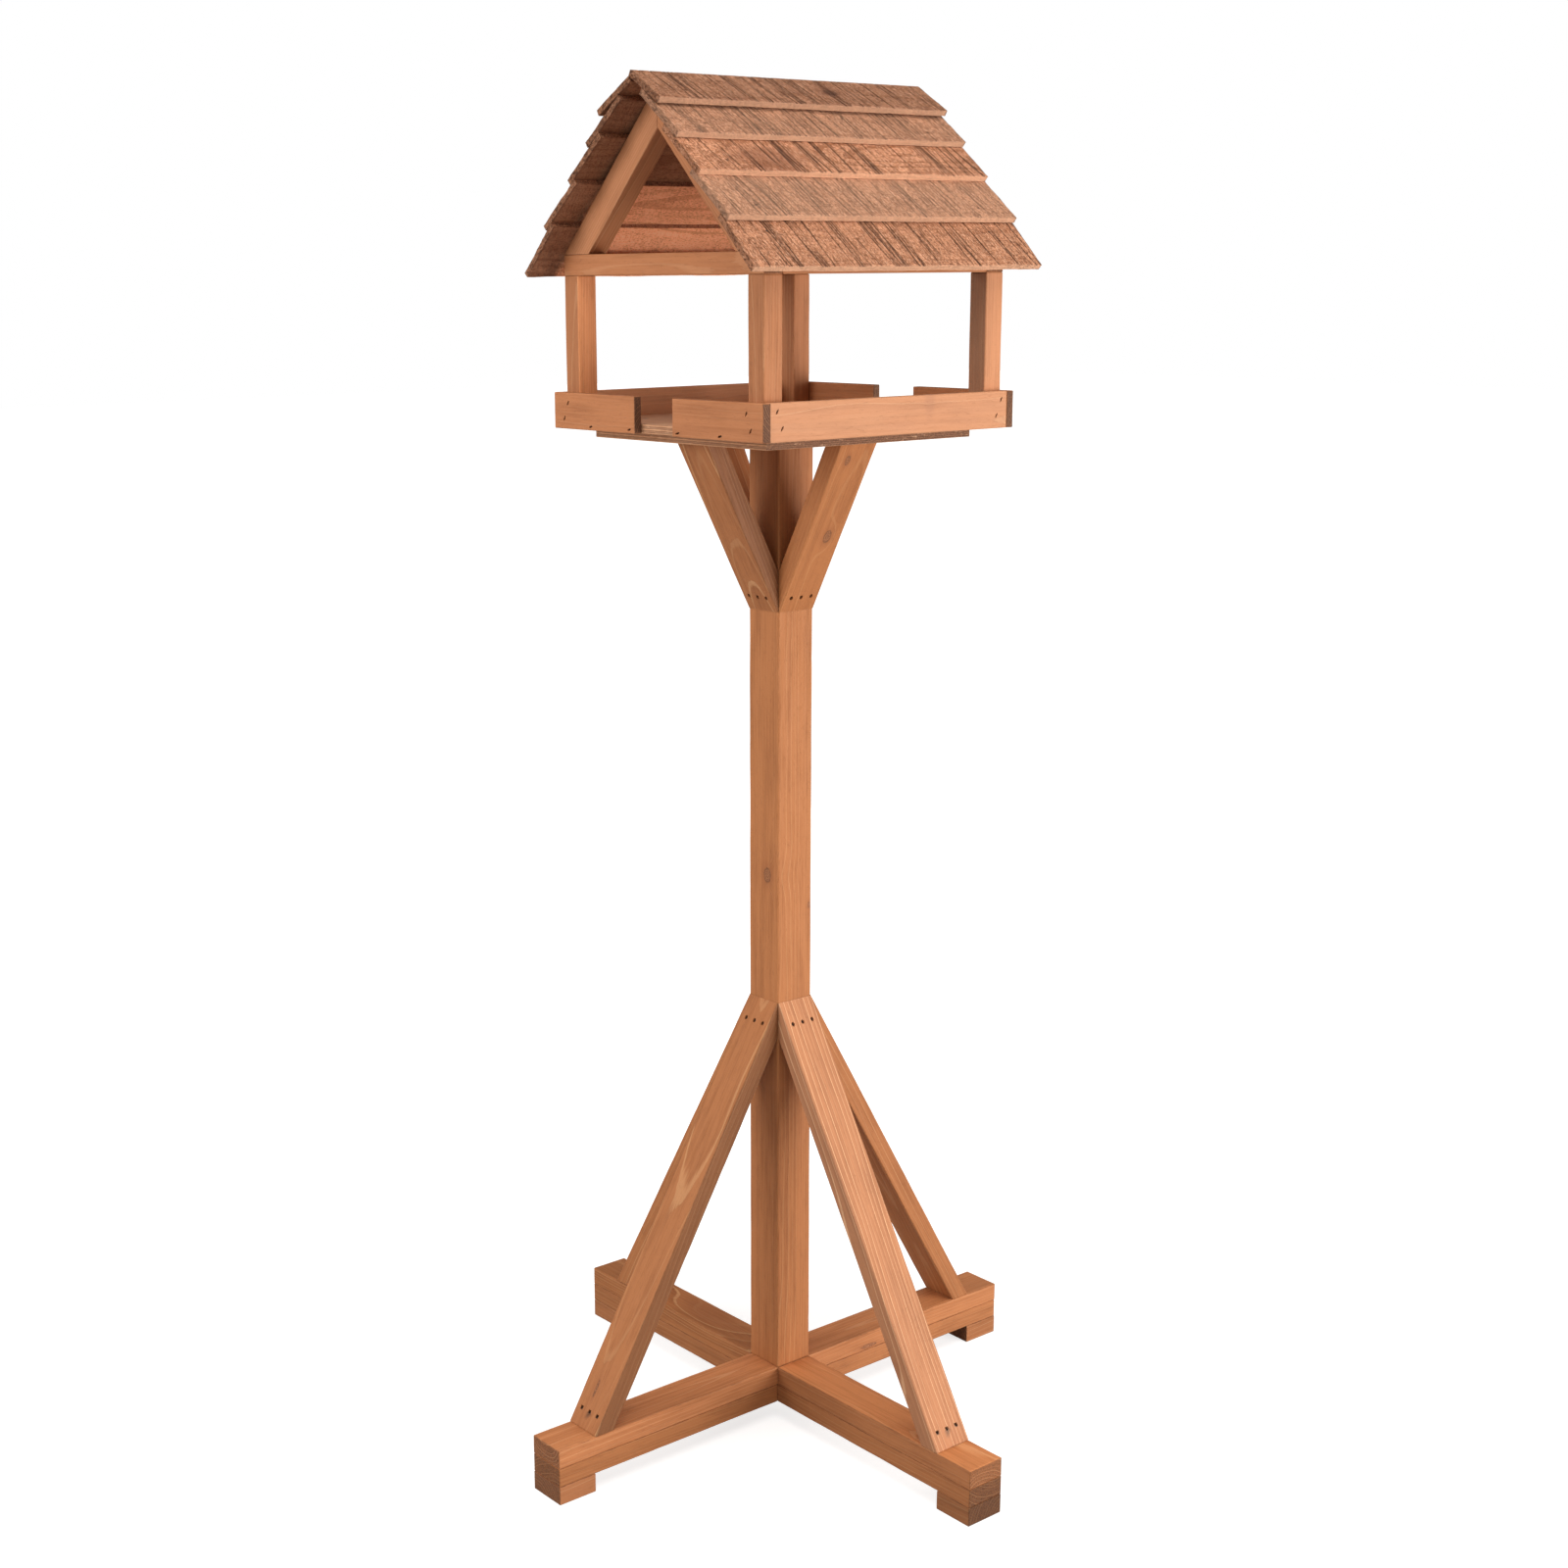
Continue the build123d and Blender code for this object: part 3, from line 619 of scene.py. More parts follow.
def screwRows(headWide, headHigh, shankWide, length, sunk=0.15):
    # a cross recess sunk in a countersunk head, its cone, the shank and a point
    head, shank = headWide / 2, shankWide / 2
    deep = 0.55 * headHigh
    return [(sunk + deep, 0.12 * head), (sunk + deep * 0.9, 0.3 * head), (sunk, 0.55 * head),
            (sunk, 0.93 * head), (sunk + 0.2, head), (sunk + headHigh, shank),
            (length - 2 * shank, shank), (length, 0.15 * shank)]


def woodOf(piece):
    # what a piece's dictionary gives that timber takes by name
    return {key: piece[key] for key in ("pith", "tilt", "look", "knots", "sideTone", "cuts") if key in piece}


def countersink(point, wide, up):
    # the conical hole of a screw head so many millimetres wide, in a face that looks up or down
    deep = wide / 2 * mm
    return {"point": point, "outward": (0, 0, up), "long": (1, 0, 0), "size": (wide * mm, wide * mm),
            "deep": deep, "depths": ((0.6 * mm, 1.06), (0.0, 1.03), (-deep, 0.5))}


half = stock["plank"] / 2
screwReach, traySquare = 90, (-95, 95)
planks = {
    "base_lower_x": {"ends": ((-armReach, 0), (armReach, 0)), "z": 30, "seed": 11, "pith": (-44, 9),
                     "tilt": (0.014, 0.003), "look": (0.82, 0.45, 0.9)},
    "base_upper_y": {"ends": ((0, -armReach), (0, armReach)), "z": 50, "seed": 12, "pith": (-30, -7),
                     "tilt": (0.010, 0.006), "look": (1.18, 0.15, 0.8),
                     "knots": ({"at": (22.5, 111, 44), "size": (2.2, 11), "rise": 1.6, "axis": 0},)},
    "base_lower_front": {"ends": ((0, -half), (0, -armReach)), "z": 30, "seed": 13, "pith": (36, 12),
                         "tilt": (0.02, 0.004), "look": (0.95, 0.5, 0.8)},
    "base_lower_back": {"ends": ((0, half), (0, armReach)), "z": 30, "seed": 14, "pith": (30, -20),
                        "tilt": (0.01, 0.01), "look": (1.05, 0.3, 0.8)},
    "base_upper_left": {"ends": ((-half, 0), (-armReach, 0)), "z": 50, "seed": 15, "pith": (40, 5),
                        "tilt": (0.004, 0.001), "look": (0.9, 0.55, 1.9),
                        "knots": ({"at": (-122, 2, 60), "size": (10, 30), "rise": -12.0},)},
    # this arm's side value of 0.62 paints shade on its sides
    "base_upper_right": {"ends": ((half, 0), (armReach, 0)), "z": 50, "seed": 16, "pith": (34, -9),
                         "tilt": (0.016, 0.002), "look": (1.40, 0.30, 0.9),
                         "sideTone": 0.62},
}
for node, plank in planks.items():
    (x0, y0), (x1, y1) = plank["ends"]
    z = plank["z"] * mm
    holes = []
    if "lower" in node:
        # only the screws that lie along this plank, and the post's big one in the through plank
        places = [((x, y), 8.0)
                  for x, y in ((screwReach, 0), (-screwReach, 0), (0, screwReach), (0, -screwReach))
                  if min(x0, x1) / mm - 1 <= x <= max(x0, x1) / mm + 1
                  and min(y0, y1) / mm - 1 <= y <= max(y0, y1) / mm + 1]
        places += [((0, 0), 12.0)] if node == "base_lower_x" else []
        holes = [countersink((x * mm, y * mm, level["lower"]), wide, -1) for (x, y), wide in places]
    timber(node + "_plank", node, (x0, y0, z), (x1, y1, z), (0, 0, 1), (stock["thick"], stock["plank"]),
           "arm", plank["seed"], spots=holes, **woodOf(plank))

feet = {"right": {"seed": 21, "look": (0.62, 0.4, 1.0), "pith": (14, 30)},
        "back": {"seed": 22, "look": (0.9, 0.2, 1.0), "pith": (26, 16)},
        "left": {"seed": 23, "look": (0.85, 0.2, 1.0), "pith": (24, -14)},
        "front": {"seed": 24, "look": (0.92, 0.1, 1.0), "pith": (18, -22)}}
for side, foot in feet.items():
    quarter = quarterOf[side]
    point = turned((287.5 * mm, 0, 0), quarter)
    timber("foot_" + side + "_block", "foot_" + side, turned((265 * mm, 0, 10 * mm), quarter),
           turned((310 * mm, 0, 10 * mm), quarter), (0, 0, 1), (stock["thick"], stock["plank"]), "arm",
           foot["seed"], spots=[countersink(point, 8, -1)], radius=0.8 * mm, **woodOf(foot))
print("base made")

postLook = {"seed": 31, "pith": (36, 30), "tilt": (0.004, -0.003), "look": (1.0, 0.5, 1.0),
            "knots": ({"at": (5.5, -22.5, 602), "size": (5.0, 7.5), "rise": 12.0, "axis": 0},
                      {"at": (22.5, 19.0, 567), "size": (1.5, 3.0), "rise": 0.8})}
timber("post_timber", "post", (0, 0, level["cross"]), (0, 0, level["postTop"]), (1, 0, 0),
       (stock["post"], stock["post"]), "post", postLook["seed"], radius=1.3 * mm, **woodOf(postLook))


def strutEnds(outX, levelZ, postZ):
    # ends of the middle line, face and lean of a mitred plank whose outer face runs from (outX, levelZ) to
    # the post at postZ
    lean = atan2(outX - halfPost, abs(postZ - levelZ))
    up = 1 if postZ > levelZ else -1
    low = np.array([outX - stock["thick"] / cos(lean) / 2, 0, levelZ])
    high = np.array([halfPost, 0, postZ - up * stock["thick"] / sin(lean) / 2])
    return low, high, np.array([cos(lean), 0, up * sin(lean)]), lean


braceEnds = strutEnds(265 * mm, level["cross"], 470 * mm)
bracketEnds = strutEnds(halfPost + 91 * mm, level["postTop"], 872 * mm)
struts = {
    # the side values below 1 of brace_right, brace_front and bracket_front paint shade on their sides, and
    # brace_right's negative warmth is painted sheen
    "brace_right": {"seed": 41, "pith": (9, 48), "tilt": (0.004, 0.020), "look": (1.12, -0.10, 1.9),
                    "sideTone": 0.72},
    "brace_back": {"seed": 42, "pith": (38, -8), "tilt": (0.012, 0.0), "look": (0.95, 0.4, 0.8)},
    "brace_left": {"seed": 43, "pith": (30, 10), "tilt": (0.015, -0.004), "look": (0.95, 0.4, 0.9)},
    "brace_front": {"seed": 44, "pith": (36, -5), "tilt": (0.030, 0.003), "look": (0.92, 0.45, 1.0),
                    "sideTone": 0.55, "knots": ({"at": (-4, -243, 97), "size": (1.5, 9), "rise": 1.6},)},
    "bracket_right": {"seed": 51, "pith": (36, 9), "tilt": (0.01, 0.01), "look": (0.95, 0.55, 0.3),
                      "knots": ({"at": (104.4, -7, 1025), "size": (3.0, 5.0), "rise": 2.5},
                                {"at": (63.6, 4.2, 949), "size": (4.5, 7.0), "rise": 4.0})},
    "bracket_back": {"seed": 52, "pith": (30, -9), "tilt": (0.03, 0.0), "look": (1.0, 0.1, 0.9)},
    "bracket_left": {"seed": 53, "pith": (34, 4), "tilt": (0.02, 0.01), "look": (0.98, 0.1, 0.9)},
    "bracket_front": {"seed": 54, "pith": (30, -2), "tilt": (0.06, 0.004), "look": (0.86, 0.35, 1.3),
                      "sideTone": 0.62},
}
nailSets = {"brace": [], "bracket": []}
nailHole = {"size": (4.6 * mm, 3.8 * mm), "deep": 2.6 * mm}
for node, strut in struts.items():
    kind, side = node.split("_")
    quarter = quarterOf[side]
    low, high, face, lean = braceEnds if kind == "brace" else bracketEnds
    spots = []
    for across in (-13 * mm, 0, 13 * mm):
        if kind == "brace":
            headPoint = (halfPost + 22 * mm * tan(lean), across, 448 * mm)
            footPoint = (265 * mm - 17 * mm * tan(lean), across, 77 * mm)
            places = [(headPoint, (cos(lean), 0, sin(lean))), (footPoint, (sin(pi / 6), 0, cos(pi / 6)))]
        else:
            footPoint = (halfPost + 15 * mm * tan(lean), across, 887 * mm)
            places = [(footPoint, (cos(lean), 0, -sin(lean)))]
        for point, outward in places:
            point, outward = turned(point, quarter), turned(outward, quarter)
            spots.append({"point": point, "outward": outward, "long": turned((0, 0, 1), quarter), **nailHole})
            nailSets[kind].append({"point": point, "outward": outward,
                                   "rows": nailRows(4.0, 1.0, 2.6, 40.0, 2.2)})
    timber(node + "_plank", node, turned(low, quarter), turned(high, quarter), turned(face, quarter),
           (stock["thick"], stock["plank"]), kind, strut["seed"], spots=spots, radius=1.1 * mm,
           cuts=((0, 0, 1), turned((1, 0, 0), quarter)), **woodOf(strut))
for kind, nails in nailSets.items():
    nailPiece(kind + "_nail_set", kind + "_nails", nails)
print("post, braces and brackets made")

halfPlate = 130 * mm
plyMiddle = stock["ply"] / 2
notchIn, notchOut, spare = stickLine - stock["stick"] / 2, halfTray + 4 * mm, 2 * mm
spans = {-1: (-notchOut, -notchIn), 1: (notchIn, notchOut)}
notches = [tuple(zip(spans[i], spans[j], (level["tray"] - spare, level["floorTop"] + spare)))
           for i in (-1, 1) for j in (-1, 1)]
sheets = {
    "mounting_plate": {"half": halfPlate, "low": level["postTop"], "seed": 61},
    "tray_floor": {"half": halfTray, "low": level["tray"], "seed": 62, "notches": notches,
                   "spots": [countersink((x * mm, y * mm, level["floorTop"]), 7, 1)
                             for x in traySquare for y in traySquare]},
}
for node, ply in sheets.items():
    reach, z = ply["half"], ply["low"] + plyMiddle
    timber(node + "_ply", node, (-reach, 0, z), (reach, 0, z), (0, 0, 1), (stock["ply"], 2 * reach), "ply",
           ply["seed"], radius=0.5 * mm, step=12 * mm, pith=(4.65, reach / mm), tilt=(0, 0),
           spots=ply.get("spots", ()), notches=ply.get("notches", ()))

railLine = halfTray + 4.5 * mm
railFace = halfTray + 9 * mm
railMiddle = level["tray"] + 17.5 * mm
slit = {"size": (5.4 * mm, 1.9 * mm), "deep": 2.2 * mm}
rails = {
    # rail_left's high tone paints light on its shaded inner face, and the negative warmth of the two side rails
    # paints sheen on them
    "rail_left": {"seed": 71, "pith": (30, 6), "look": (1.5, -0.22, 0.9)},
    "rail_right": {"seed": 72, "pith": (33, -12), "look": (1.1, -0.16, 1.1),
                   "knots": ({"at": (159, 46.8, 1078.7), "size": (8.0, 3.6), "rise": -0.5},)},
    "rail_front_left": {"seed": 73, "pith": (26, 20), "look": (1.02, 0.0, 0.6)},
    "rail_front_right": {"seed": 74, "pith": (28, 25), "look": (1.0, 0.0, 0.6)},
    "rail_back_left": {"seed": 75, "pith": (26, 14), "look": (1.0, 0.1, 0.6)},
    "rail_back_right": {"seed": 76, "pith": (26, -14), "look": (1.0, 0.1, 0.6)},
}
railPins = []
slitLean = unit((0.6, 0.6, 1.0))
for node, rail in rails.items():
    parts = node.split("_")
    sign = -1 if parts[-1] == "left" else 1
    spots = []
    if len(parts) == 2:
        start, end = [(sign * railLine, y, railMiddle) for y in (-halfTray, halfTray)]
        face = (sign, 0, 0)
        places = [(sign * railFace, g * (stickLine - shift * mm), z * mm, slitLean)
                  for g in (-1, 1) for z, shift in ((1063, 3), (1078, -3))]
    else:
        gable = -1 if parts[1] == "front" else 1
        start = (sign * 29 * mm, gable * railLine, railMiddle)
        end = (sign * railFace, gable * railLine, railMiddle)
        face = (0, gable, 0)
        places = [(sign * (stickLine + shift * mm), gable * railFace, z * mm, slitLean)
                  for z, shift in ((1061, 3), (1076, -3))]
        places += [(sign * x * mm, gable * railFace, 1054.5 * mm, unit((1.0, 0, 0.25))) for x in (37, 99)]
    for x, y, z, long in places:
        spots.append({"point": (x, y, z), "outward": face, "long": long, **slit})
        railPins.append({"point": (x, y, z), "outward": face, "rows": nailRows(2.4, 0.8, 1.4, 20.0, 2.0)})
    timber(node + "_strip", node, start, end, face, (9 * mm, 35 * mm), "rail", rail["seed"], spots=spots,
           radius=0.8 * mm, step=6 * mm, **woodOf(rail))
nailPiece("rail_pin_set", "rail_pins", railPins)
print("tray made")

sticks = {}
for gable, g in (("front", -1), ("back", 1)):
    sticks["tie_beam_" + gable] = {"ends": ((-halfTray, g * stickLine, level["beam"] + 10 * mm),
                                            (halfTray, g * stickLine, level["beam"] + 10 * mm)),
                                   "face": (0, g, 0), "size": (22, 20), "look": (0.98, 0.05, 0.5)}
    for side, s in (("left", -1), ("right", 1)):
        sticks["corner_post_" + gable + "_" + side] = {
            "ends": tuple((s * stickLine, g * stickLine, level[end]) for end in ("tray", "beam")),
            "face": (0, g, 0), "size": (22, 22), "look": (1.0, 0.05, 0.8)}
        # a rafter's middle line, from the level cut at its foot to the upright cut at the ridge
        foot = (halfTray - 14 * mm / sin(pi / 4), level["beamTop"])
        ridge = (0.0, apexHeight - 14 * mm / sin(pi / 4))
        sticks["rafter_" + gable + "_" + side] = {
            "ends": ((s * foot[0], g * stickLine, foot[1]), (0.0, g * stickLine, ridge[1])),
            "face": (s, 0, 1), "size": (28, 22), "cuts": ((0, 0, 1), (s, 0, 0)), "look": (0.98, 0.0, 0.9)}
for side, s in (("left", -1), ("right", 1)):
    sticks["eaves_plate_" + side] = {"ends": ((s * stickLine, -128 * mm, level["beam"] + 10 * mm),
                                              (s * stickLine, 128 * mm, level["beam"] + 10 * mm)),
                                     "face": (s, 0, 0), "size": (22, 20), "look": (0.95, 0.1, 0.6)}
# painted light and shade: side values above 1 paint light on the left and right faces of three corner posts,
# the back right post's low tone paints shade on its front and back faces, and its negative warmth is painted
# sheen
sticks["corner_post_front_right"].update(look=(0.88, 0.05, 0.8), sideTone=1.08)
sticks["corner_post_front_left"].update(look=(0.86, 0.05, 0.8), sideTone=1.75)
sticks["corner_post_back_right"].update(look=(0.55, -0.10, 0.7), sideTone=2.1)
sticks["rafter_front_left"]["look"] = (1.02, -0.05, 1.3)
for number, (node, stick) in enumerate(sticks.items()):
    dice = np.random.RandomState(900 + number)
    timber(node + "_stick", node, *stick["ends"], stick["face"], tuple(s * mm for s in stick["size"]),
           "stick", 80 + number, pith=(dice.uniform(18, 34), dice.uniform(-20, 20)),
           tilt=tuple(dice.uniform(-0.012, 0.012, 2)), step=6 * mm, **woodOf(stick))
frameNails = []
rows = nailRows(4.0, 1.0, 2.2, 35.0, 1.0)
for g in (-1, 1):
    for s in (-1, 1):
        frameNails.append({"point": (s * (stickLine + 5 * mm), g * stickLine, level["beamTop"]),
                           "outward": (0, 0, 1), "rows": rows})
        frameNails.append({"point": (s * (stickLine - 5 * mm), g * halfTray, level["beam"] + 10 * mm),
                           "outward": (0, g, 0), "rows": rows})
        onRafter = (s * (halfTray - 16 * mm), g * (stickLine + 5 * mm), level["beamTop"] + 16 * mm)
        frameNails.append({"point": onRafter, "outward": (s * sin(pi / 4), 0, cos(pi / 4)), "rows": rows})
nailPiece("frame_nail_set", "frame_nails", frameNails)
print("frame over the tray made")

boardWidth, boardThick, halfRoof = 65 * mm, 6 * mm, 180 * mm
lowerEdges = {"right": [42, 82, 127, 183, 238], "left": [55, 87, 131, 188, 242]}


def slopePoint(sign, down, out):
    # the place that lies down the slope from the rafters' apex and out from their top line
    return np.array([sign * (down * cos(pi / 4) + out * sin(pi / 4)), 0,
                     apexHeight + (out - down) * sin(pi / 4)])


def boardTilt(start, seat, edge, below):
    # the tilt that lays a board on the one below it
    if below is None:
        return 0.0
    belowStart, belowSeat, belowTilt = below
    topStart = belowStart - boardThick * sin(belowTilt)
    topSeat = belowSeat + boardThick * cos(belowTilt)
    atTop = atan((topSeat - seat) / (topStart - start))
    edgeSeat = topSeat + (edge - topStart) * tan(belowTilt)
    return max(atTop, atan((edgeSeat - seat) / (edge - start)))


def layBoards(sign, edges, topStart, topSeat):
    # boards laid from the eaves up: where each starts, how far out it sits, and its tilt
    laid, below = {}, None
    for number in range(len(edges), 0, -1):
        edge = edges[number - 1] * mm
        start = topStart if number == 1 else edge - boardWidth
        seat = topSeat if number == 1 else 0.0
        tilt = boardTilt(start, seat, edge, below)
        below = laid[number] = (start, seat, tilt)
    return laid


def sawScratches(dice, spec, down, along):
    # Depth of the slanting saw scratches, as an array over points: each is a narrow bell curve across its
    # line, which leans down the board, and is broken into beads by waves of its own.
    places, strength = [], []
    for _ in range(spec["clusters"]):
        middle = dice.uniform(-165, 165)
        count = dice.randint(3, 6)
        gap = dice.uniform(2.0, 3.6)
        places += list(middle + gap * (np.arange(count) - count / 2) + dice.uniform(-0.4, 0.4, count))
        strength += list(dice.uniform(0.6, 1.0, count))
    singles = dice.uniform(-175, 175, spec["singles"])
    places += list(singles)
    strength += list(dice.uniform(0.25, 1.0, len(singles)))
    depth = np.zeros_like(down)
    for place, amount in zip(places, strength):
        lean = spec["lean"] + dice.uniform(-0.012, 0.012)
        centre = place + lean * down / mm + dice.uniform(-0.0012, 0.0012) * (down / mm) ** 2
        wide = dice.uniform(0.48, 0.8)
        beads = 0.78 + 0.22 * np.sin(down / mm * dice.uniform(1.1, 2.0) + dice.uniform(0, 6))
        swell = 0.75 + 0.5 * np.sin(down / mm * dice.uniform(0.04, 0.12) + dice.uniform(0, 6))
        depth = np.maximum(depth, amount * beads * np.clip(swell, 0, 1)
                           * np.exp(-((along / mm - centre) / wide) ** 2))
    return depth * spec["deep"]


boardLooks = {
    "right_1": {"seed": 101, "clusters": 8, "singles": 34, "deep": 1.0, "look": (1.0, 0.0, 0.7), "fuzz": 0.6,
                "knots": ({"at": (17.5, 43.3, 1359.5), "size": (5, 9), "rise": 5.0},)},
    "right_2": {"seed": 102, "clusters": 5, "singles": 84, "deep": 0.7, "look": (1.18, -0.10, 0.6),
                "fuzz": 1.0},
    "right_3": {"seed": 103, "clusters": 8, "singles": 38, "deep": 1.0, "look": (1.44, 0.0, 2.3), "fuzz": 0.6,
                "knots": ({"at": (84, -88, 1298), "size": (10, 24), "rise": -10.0},)},
    "right_4": {"seed": 104, "clusters": 4, "singles": 84, "deep": 0.68, "look": (1.22, -0.15, 0.5),
                "fuzz": 1.0},
    "right_5": {"seed": 105, "clusters": 7, "singles": 38, "deep": 1.0, "look": (1.28, 0.0, 0.8),
                "fuzz": 0.6},
    "left_1": {"seed": 106, "clusters": 5, "singles": 30, "deep": 0.8, "look": (1.0, 0.1, 0.8), "fuzz": 0.8},
    "left_2": {"seed": 107, "clusters": 5, "singles": 50, "deep": 0.6, "look": (0.97, 0.0, 0.8), "fuzz": 0.8},
    # the last entries of left_3, left_4 and left_5 paint their undersides: a little darker on left_3, and much
    # paler on left_4 and left_5 as painted light
    "left_3": {"seed": 108, "clusters": 7, "singles": 30, "deep": 0.9, "look": (1.02, 0.1, 0.8), "fuzz": 0.6,
               "paintedUnderShading": -0.08},
    "left_4": {"seed": 109, "clusters": 4, "singles": 60, "deep": 0.5, "look": (1.08, 0.0, 0.9), "fuzz": 0.9,
               "paintedUnderShading": 1.45},
    "left_5": {"seed": 110, "clusters": 6, "singles": 30, "deep": 0.9, "look": (1.06, 0.0, 1.1), "fuzz": 0.6,
               "paintedUnderShading": 1.65},
}


def roofBoard(side, number, start, seat, tilt, edge, pinDown):
    # A sawn board as a dense grid: across it, out of it and along the roof. Scratches, pin dents, a wavy
    # cut edge and rough gable ends are moves of the grid's points.
    sign = 1 if side == "right" else -1
    spec = {"lean": 0.176 * sign, **boardLooks[side + "_" + str(number)]}
    dice = np.random.RandomState(spec["seed"])
    width = (edge - start) / cos(tilt)
    radius = 0.35 * mm
    pinAt = (pinDown - start) / cos(tilt) - width / 2
    across = sideLines(width / 2, radius, 2.6 * mm, 3)
    across = np.sort(np.concatenate([across, pinAt + np.array([-1.5, -0.9, -0.3, 0.3, 0.9, 1.5]) * mm]))
    across = across[np.concatenate([[True], np.diff(across) > 0.01 * mm])]
    lines = [sideLines(boardThick / 2, radius, 2.0 * mm, 3), across, sideLines(halfRoof, radius, 0.6 * mm, 3)]
    local, quads, outward, onArris = blockSkin(lines, radius)
    down = local[:, 1] + width / 2
    onTop = np.clip((local[:, 0] / (boardThick / 2) - 0.80) / 0.15, 0, 1)
    under = np.clip((-local[:, 0] / (boardThick / 2) - 0.80) / 0.15, 0, 1)
    groove = np.clip(2.2 * sawScratches(dice, spec, down, local[:, 2]), 0, 1) * onTop
    faint = sawScratches(dice, {**spec, "clusters": 2, "singles": 12, "deep": 0.4, "lean": -spec["lean"]},
                         down, local[:, 2]) * under
    dent = np.zeros(len(local))
    for gable in (-1, 1):
        far = np.hypot(local[:, 1] - pinAt, local[:, 2] - gable * stickLine) / mm
        dent = np.maximum(dent, np.exp(-(far / 1.35) ** 4) * onTop)
    fuzz = dice.normal(size=len(local)) * 0.035 * spec["fuzz"] * (onTop + under * 0.5)
    depth = 0.42 * groove + 0.3 * faint + 0.75 * dent - 0.03 + fuzz
    local[:, 0] -= np.sign(local[:, 0]) * np.maximum(depth, 0.0) * mm * (onTop + under)
    # the lower edge: slow waves, small nicks and a few torn spots
    edgeLine = np.stack([local[:, 2], local[:, 0] * 0.6, np.zeros(len(local))], -1)
    lowShare = np.clip(down / width, 0, 1) ** 10
    seed = spec["seed"]
    nick = 0.35 + 0.3 * ripple(edgeLine, seed + 5, 0.07) + 0.16 * ripple(edgeLine, seed + 6, 0.009)
    nick = nick + 0.6 * np.clip(ripple(edgeLine, seed + 7, 0.016) - 1.2, 0, 1.2)
    local[:, 1] -= lowShare * np.clip(nick, 0, 1.8) * mm
    endShare = np.clip(np.abs(local[:, 2]) / halfRoof * 12 - 11, 0, 1)
    endLine = np.stack([local[:, 1], local[:, 0] * 1.5, np.sign(local[:, 2])], -1)
    rough = 0.4 + 0.3 * ripple(endLine, seed + 8, 0.02) + 0.15 * ripple(endLine, seed + 9, 0.005)
    local[:, 2] -= np.sign(local[:, 2]) * endShare * np.clip(rough, 0, 1.2) * mm
    normal = np.array([sign * sin(pi / 4 - tilt), 0, cos(pi / 4 - tilt)])
    fall = np.array([sign * cos(pi / 4 - tilt), 0, -sin(pi / 4 - tilt)])
    roofAxis = np.array([0, 1.0, 0])
    corner = slopePoint(sign, start, seat)
    middle = corner + fall * width / 2 + normal * boardThick / 2
    axes = np.stack([normal, fall, roofAxis])
    if np.linalg.det(axes) < 0:
        quads = quads[:, ::-1]
    name = "roof_board_" + side + "_" + str(number)
    mesh = fillMesh(name + "_sawn", middle + local @ axes, quads)
    ends = (middle - roofAxis * halfRoof, middle + roofAxis * halfRoof)
    paint(mesh, local, *ends, axes, middle, (boardThick, width), None, (), seed,
          (dice.uniform(25, 45), dice.uniform(-15, 15)), tuple(dice.uniform(-0.02, 0.02, 2)),
          spec.get("knots", ()), spec["look"])
    cutEdge = np.clip((down / width - 0.985) / 0.01, 0, 1) * (1 - onTop * 0.6)
    ending = np.clip(1 - (halfRoof - np.abs(local[:, 2])) / (2.2 * mm), 0, 1)
    # painted shade: the scratches and pin dents are darkened as recesses
    recessShade = np.clip(groove * 0.95 + dent * 0.9 + faint * 0.6, 0, 1)
    values = np.stack([ending, cutEdge * (1 - ending), recessShade], -1)
    setAttribute(mesh, "spots", values)
    tone, warmth, figure = spec["look"]
    # painted light and shade on the underside: mostly paler between the gables, where the lamps leave it too
    # dark, and darker past them, under the overhang
    inside = np.clip((halfTray - np.abs(local[:, 2])) / (6 * mm), 0, 1)
    underLightAndShade = spec.get("paintedUnderShading", 0.35) * inside - 0.2 * (1 - inside)
    look = np.stack([tone + underLightAndShade * under, np.full(len(local), warmth),
                     figure * np.where(under > 0.5, -1, 1)], -1)
    setAttribute(mesh, "look", look)
    return showPiece(name + "_sawn", mesh, "board", name)


roofPins = []
slopes = {"left": layBoards(-1, lowerEdges["left"], 1 * mm, 0.0)}
start, seat, tilt = slopes["left"][1]
slopes["right"] = layBoards(1, lowerEdges["right"], -(seat + boardThick * cos(tilt)),
                            -(start - boardThick * sin(tilt)))
for side, sign in (("left", -1), ("right", 1)):
    for number, edge in enumerate(lowerEdges[side], start=1):
        start, seat, tilt = slopes[side][number]
        pinRise = 44 if number == 5 else 15
        pinDown = (edge - pinRise) * mm
        out = seat + (pinDown - start) * tan(tilt) + boardThick / cos(tilt)
        for gable in (-1, 1):
            point = slopePoint(sign, pinDown, out) + np.array([0, gable * stickLine, 0])
            roofPins.append({"point": point, "outward": (sign * sin(pi / 4 - tilt), 0, cos(pi / 4 - tilt)),
                             "rows": nailRows(2.4, 0.8, 1.4, 18.0, 0.45)})
        roofBoard(side, number, start, seat, tilt, edge * mm, pinDown)
nailPiece("roof_pin_set", "roof_pins", roofPins)
print("roof boards made")

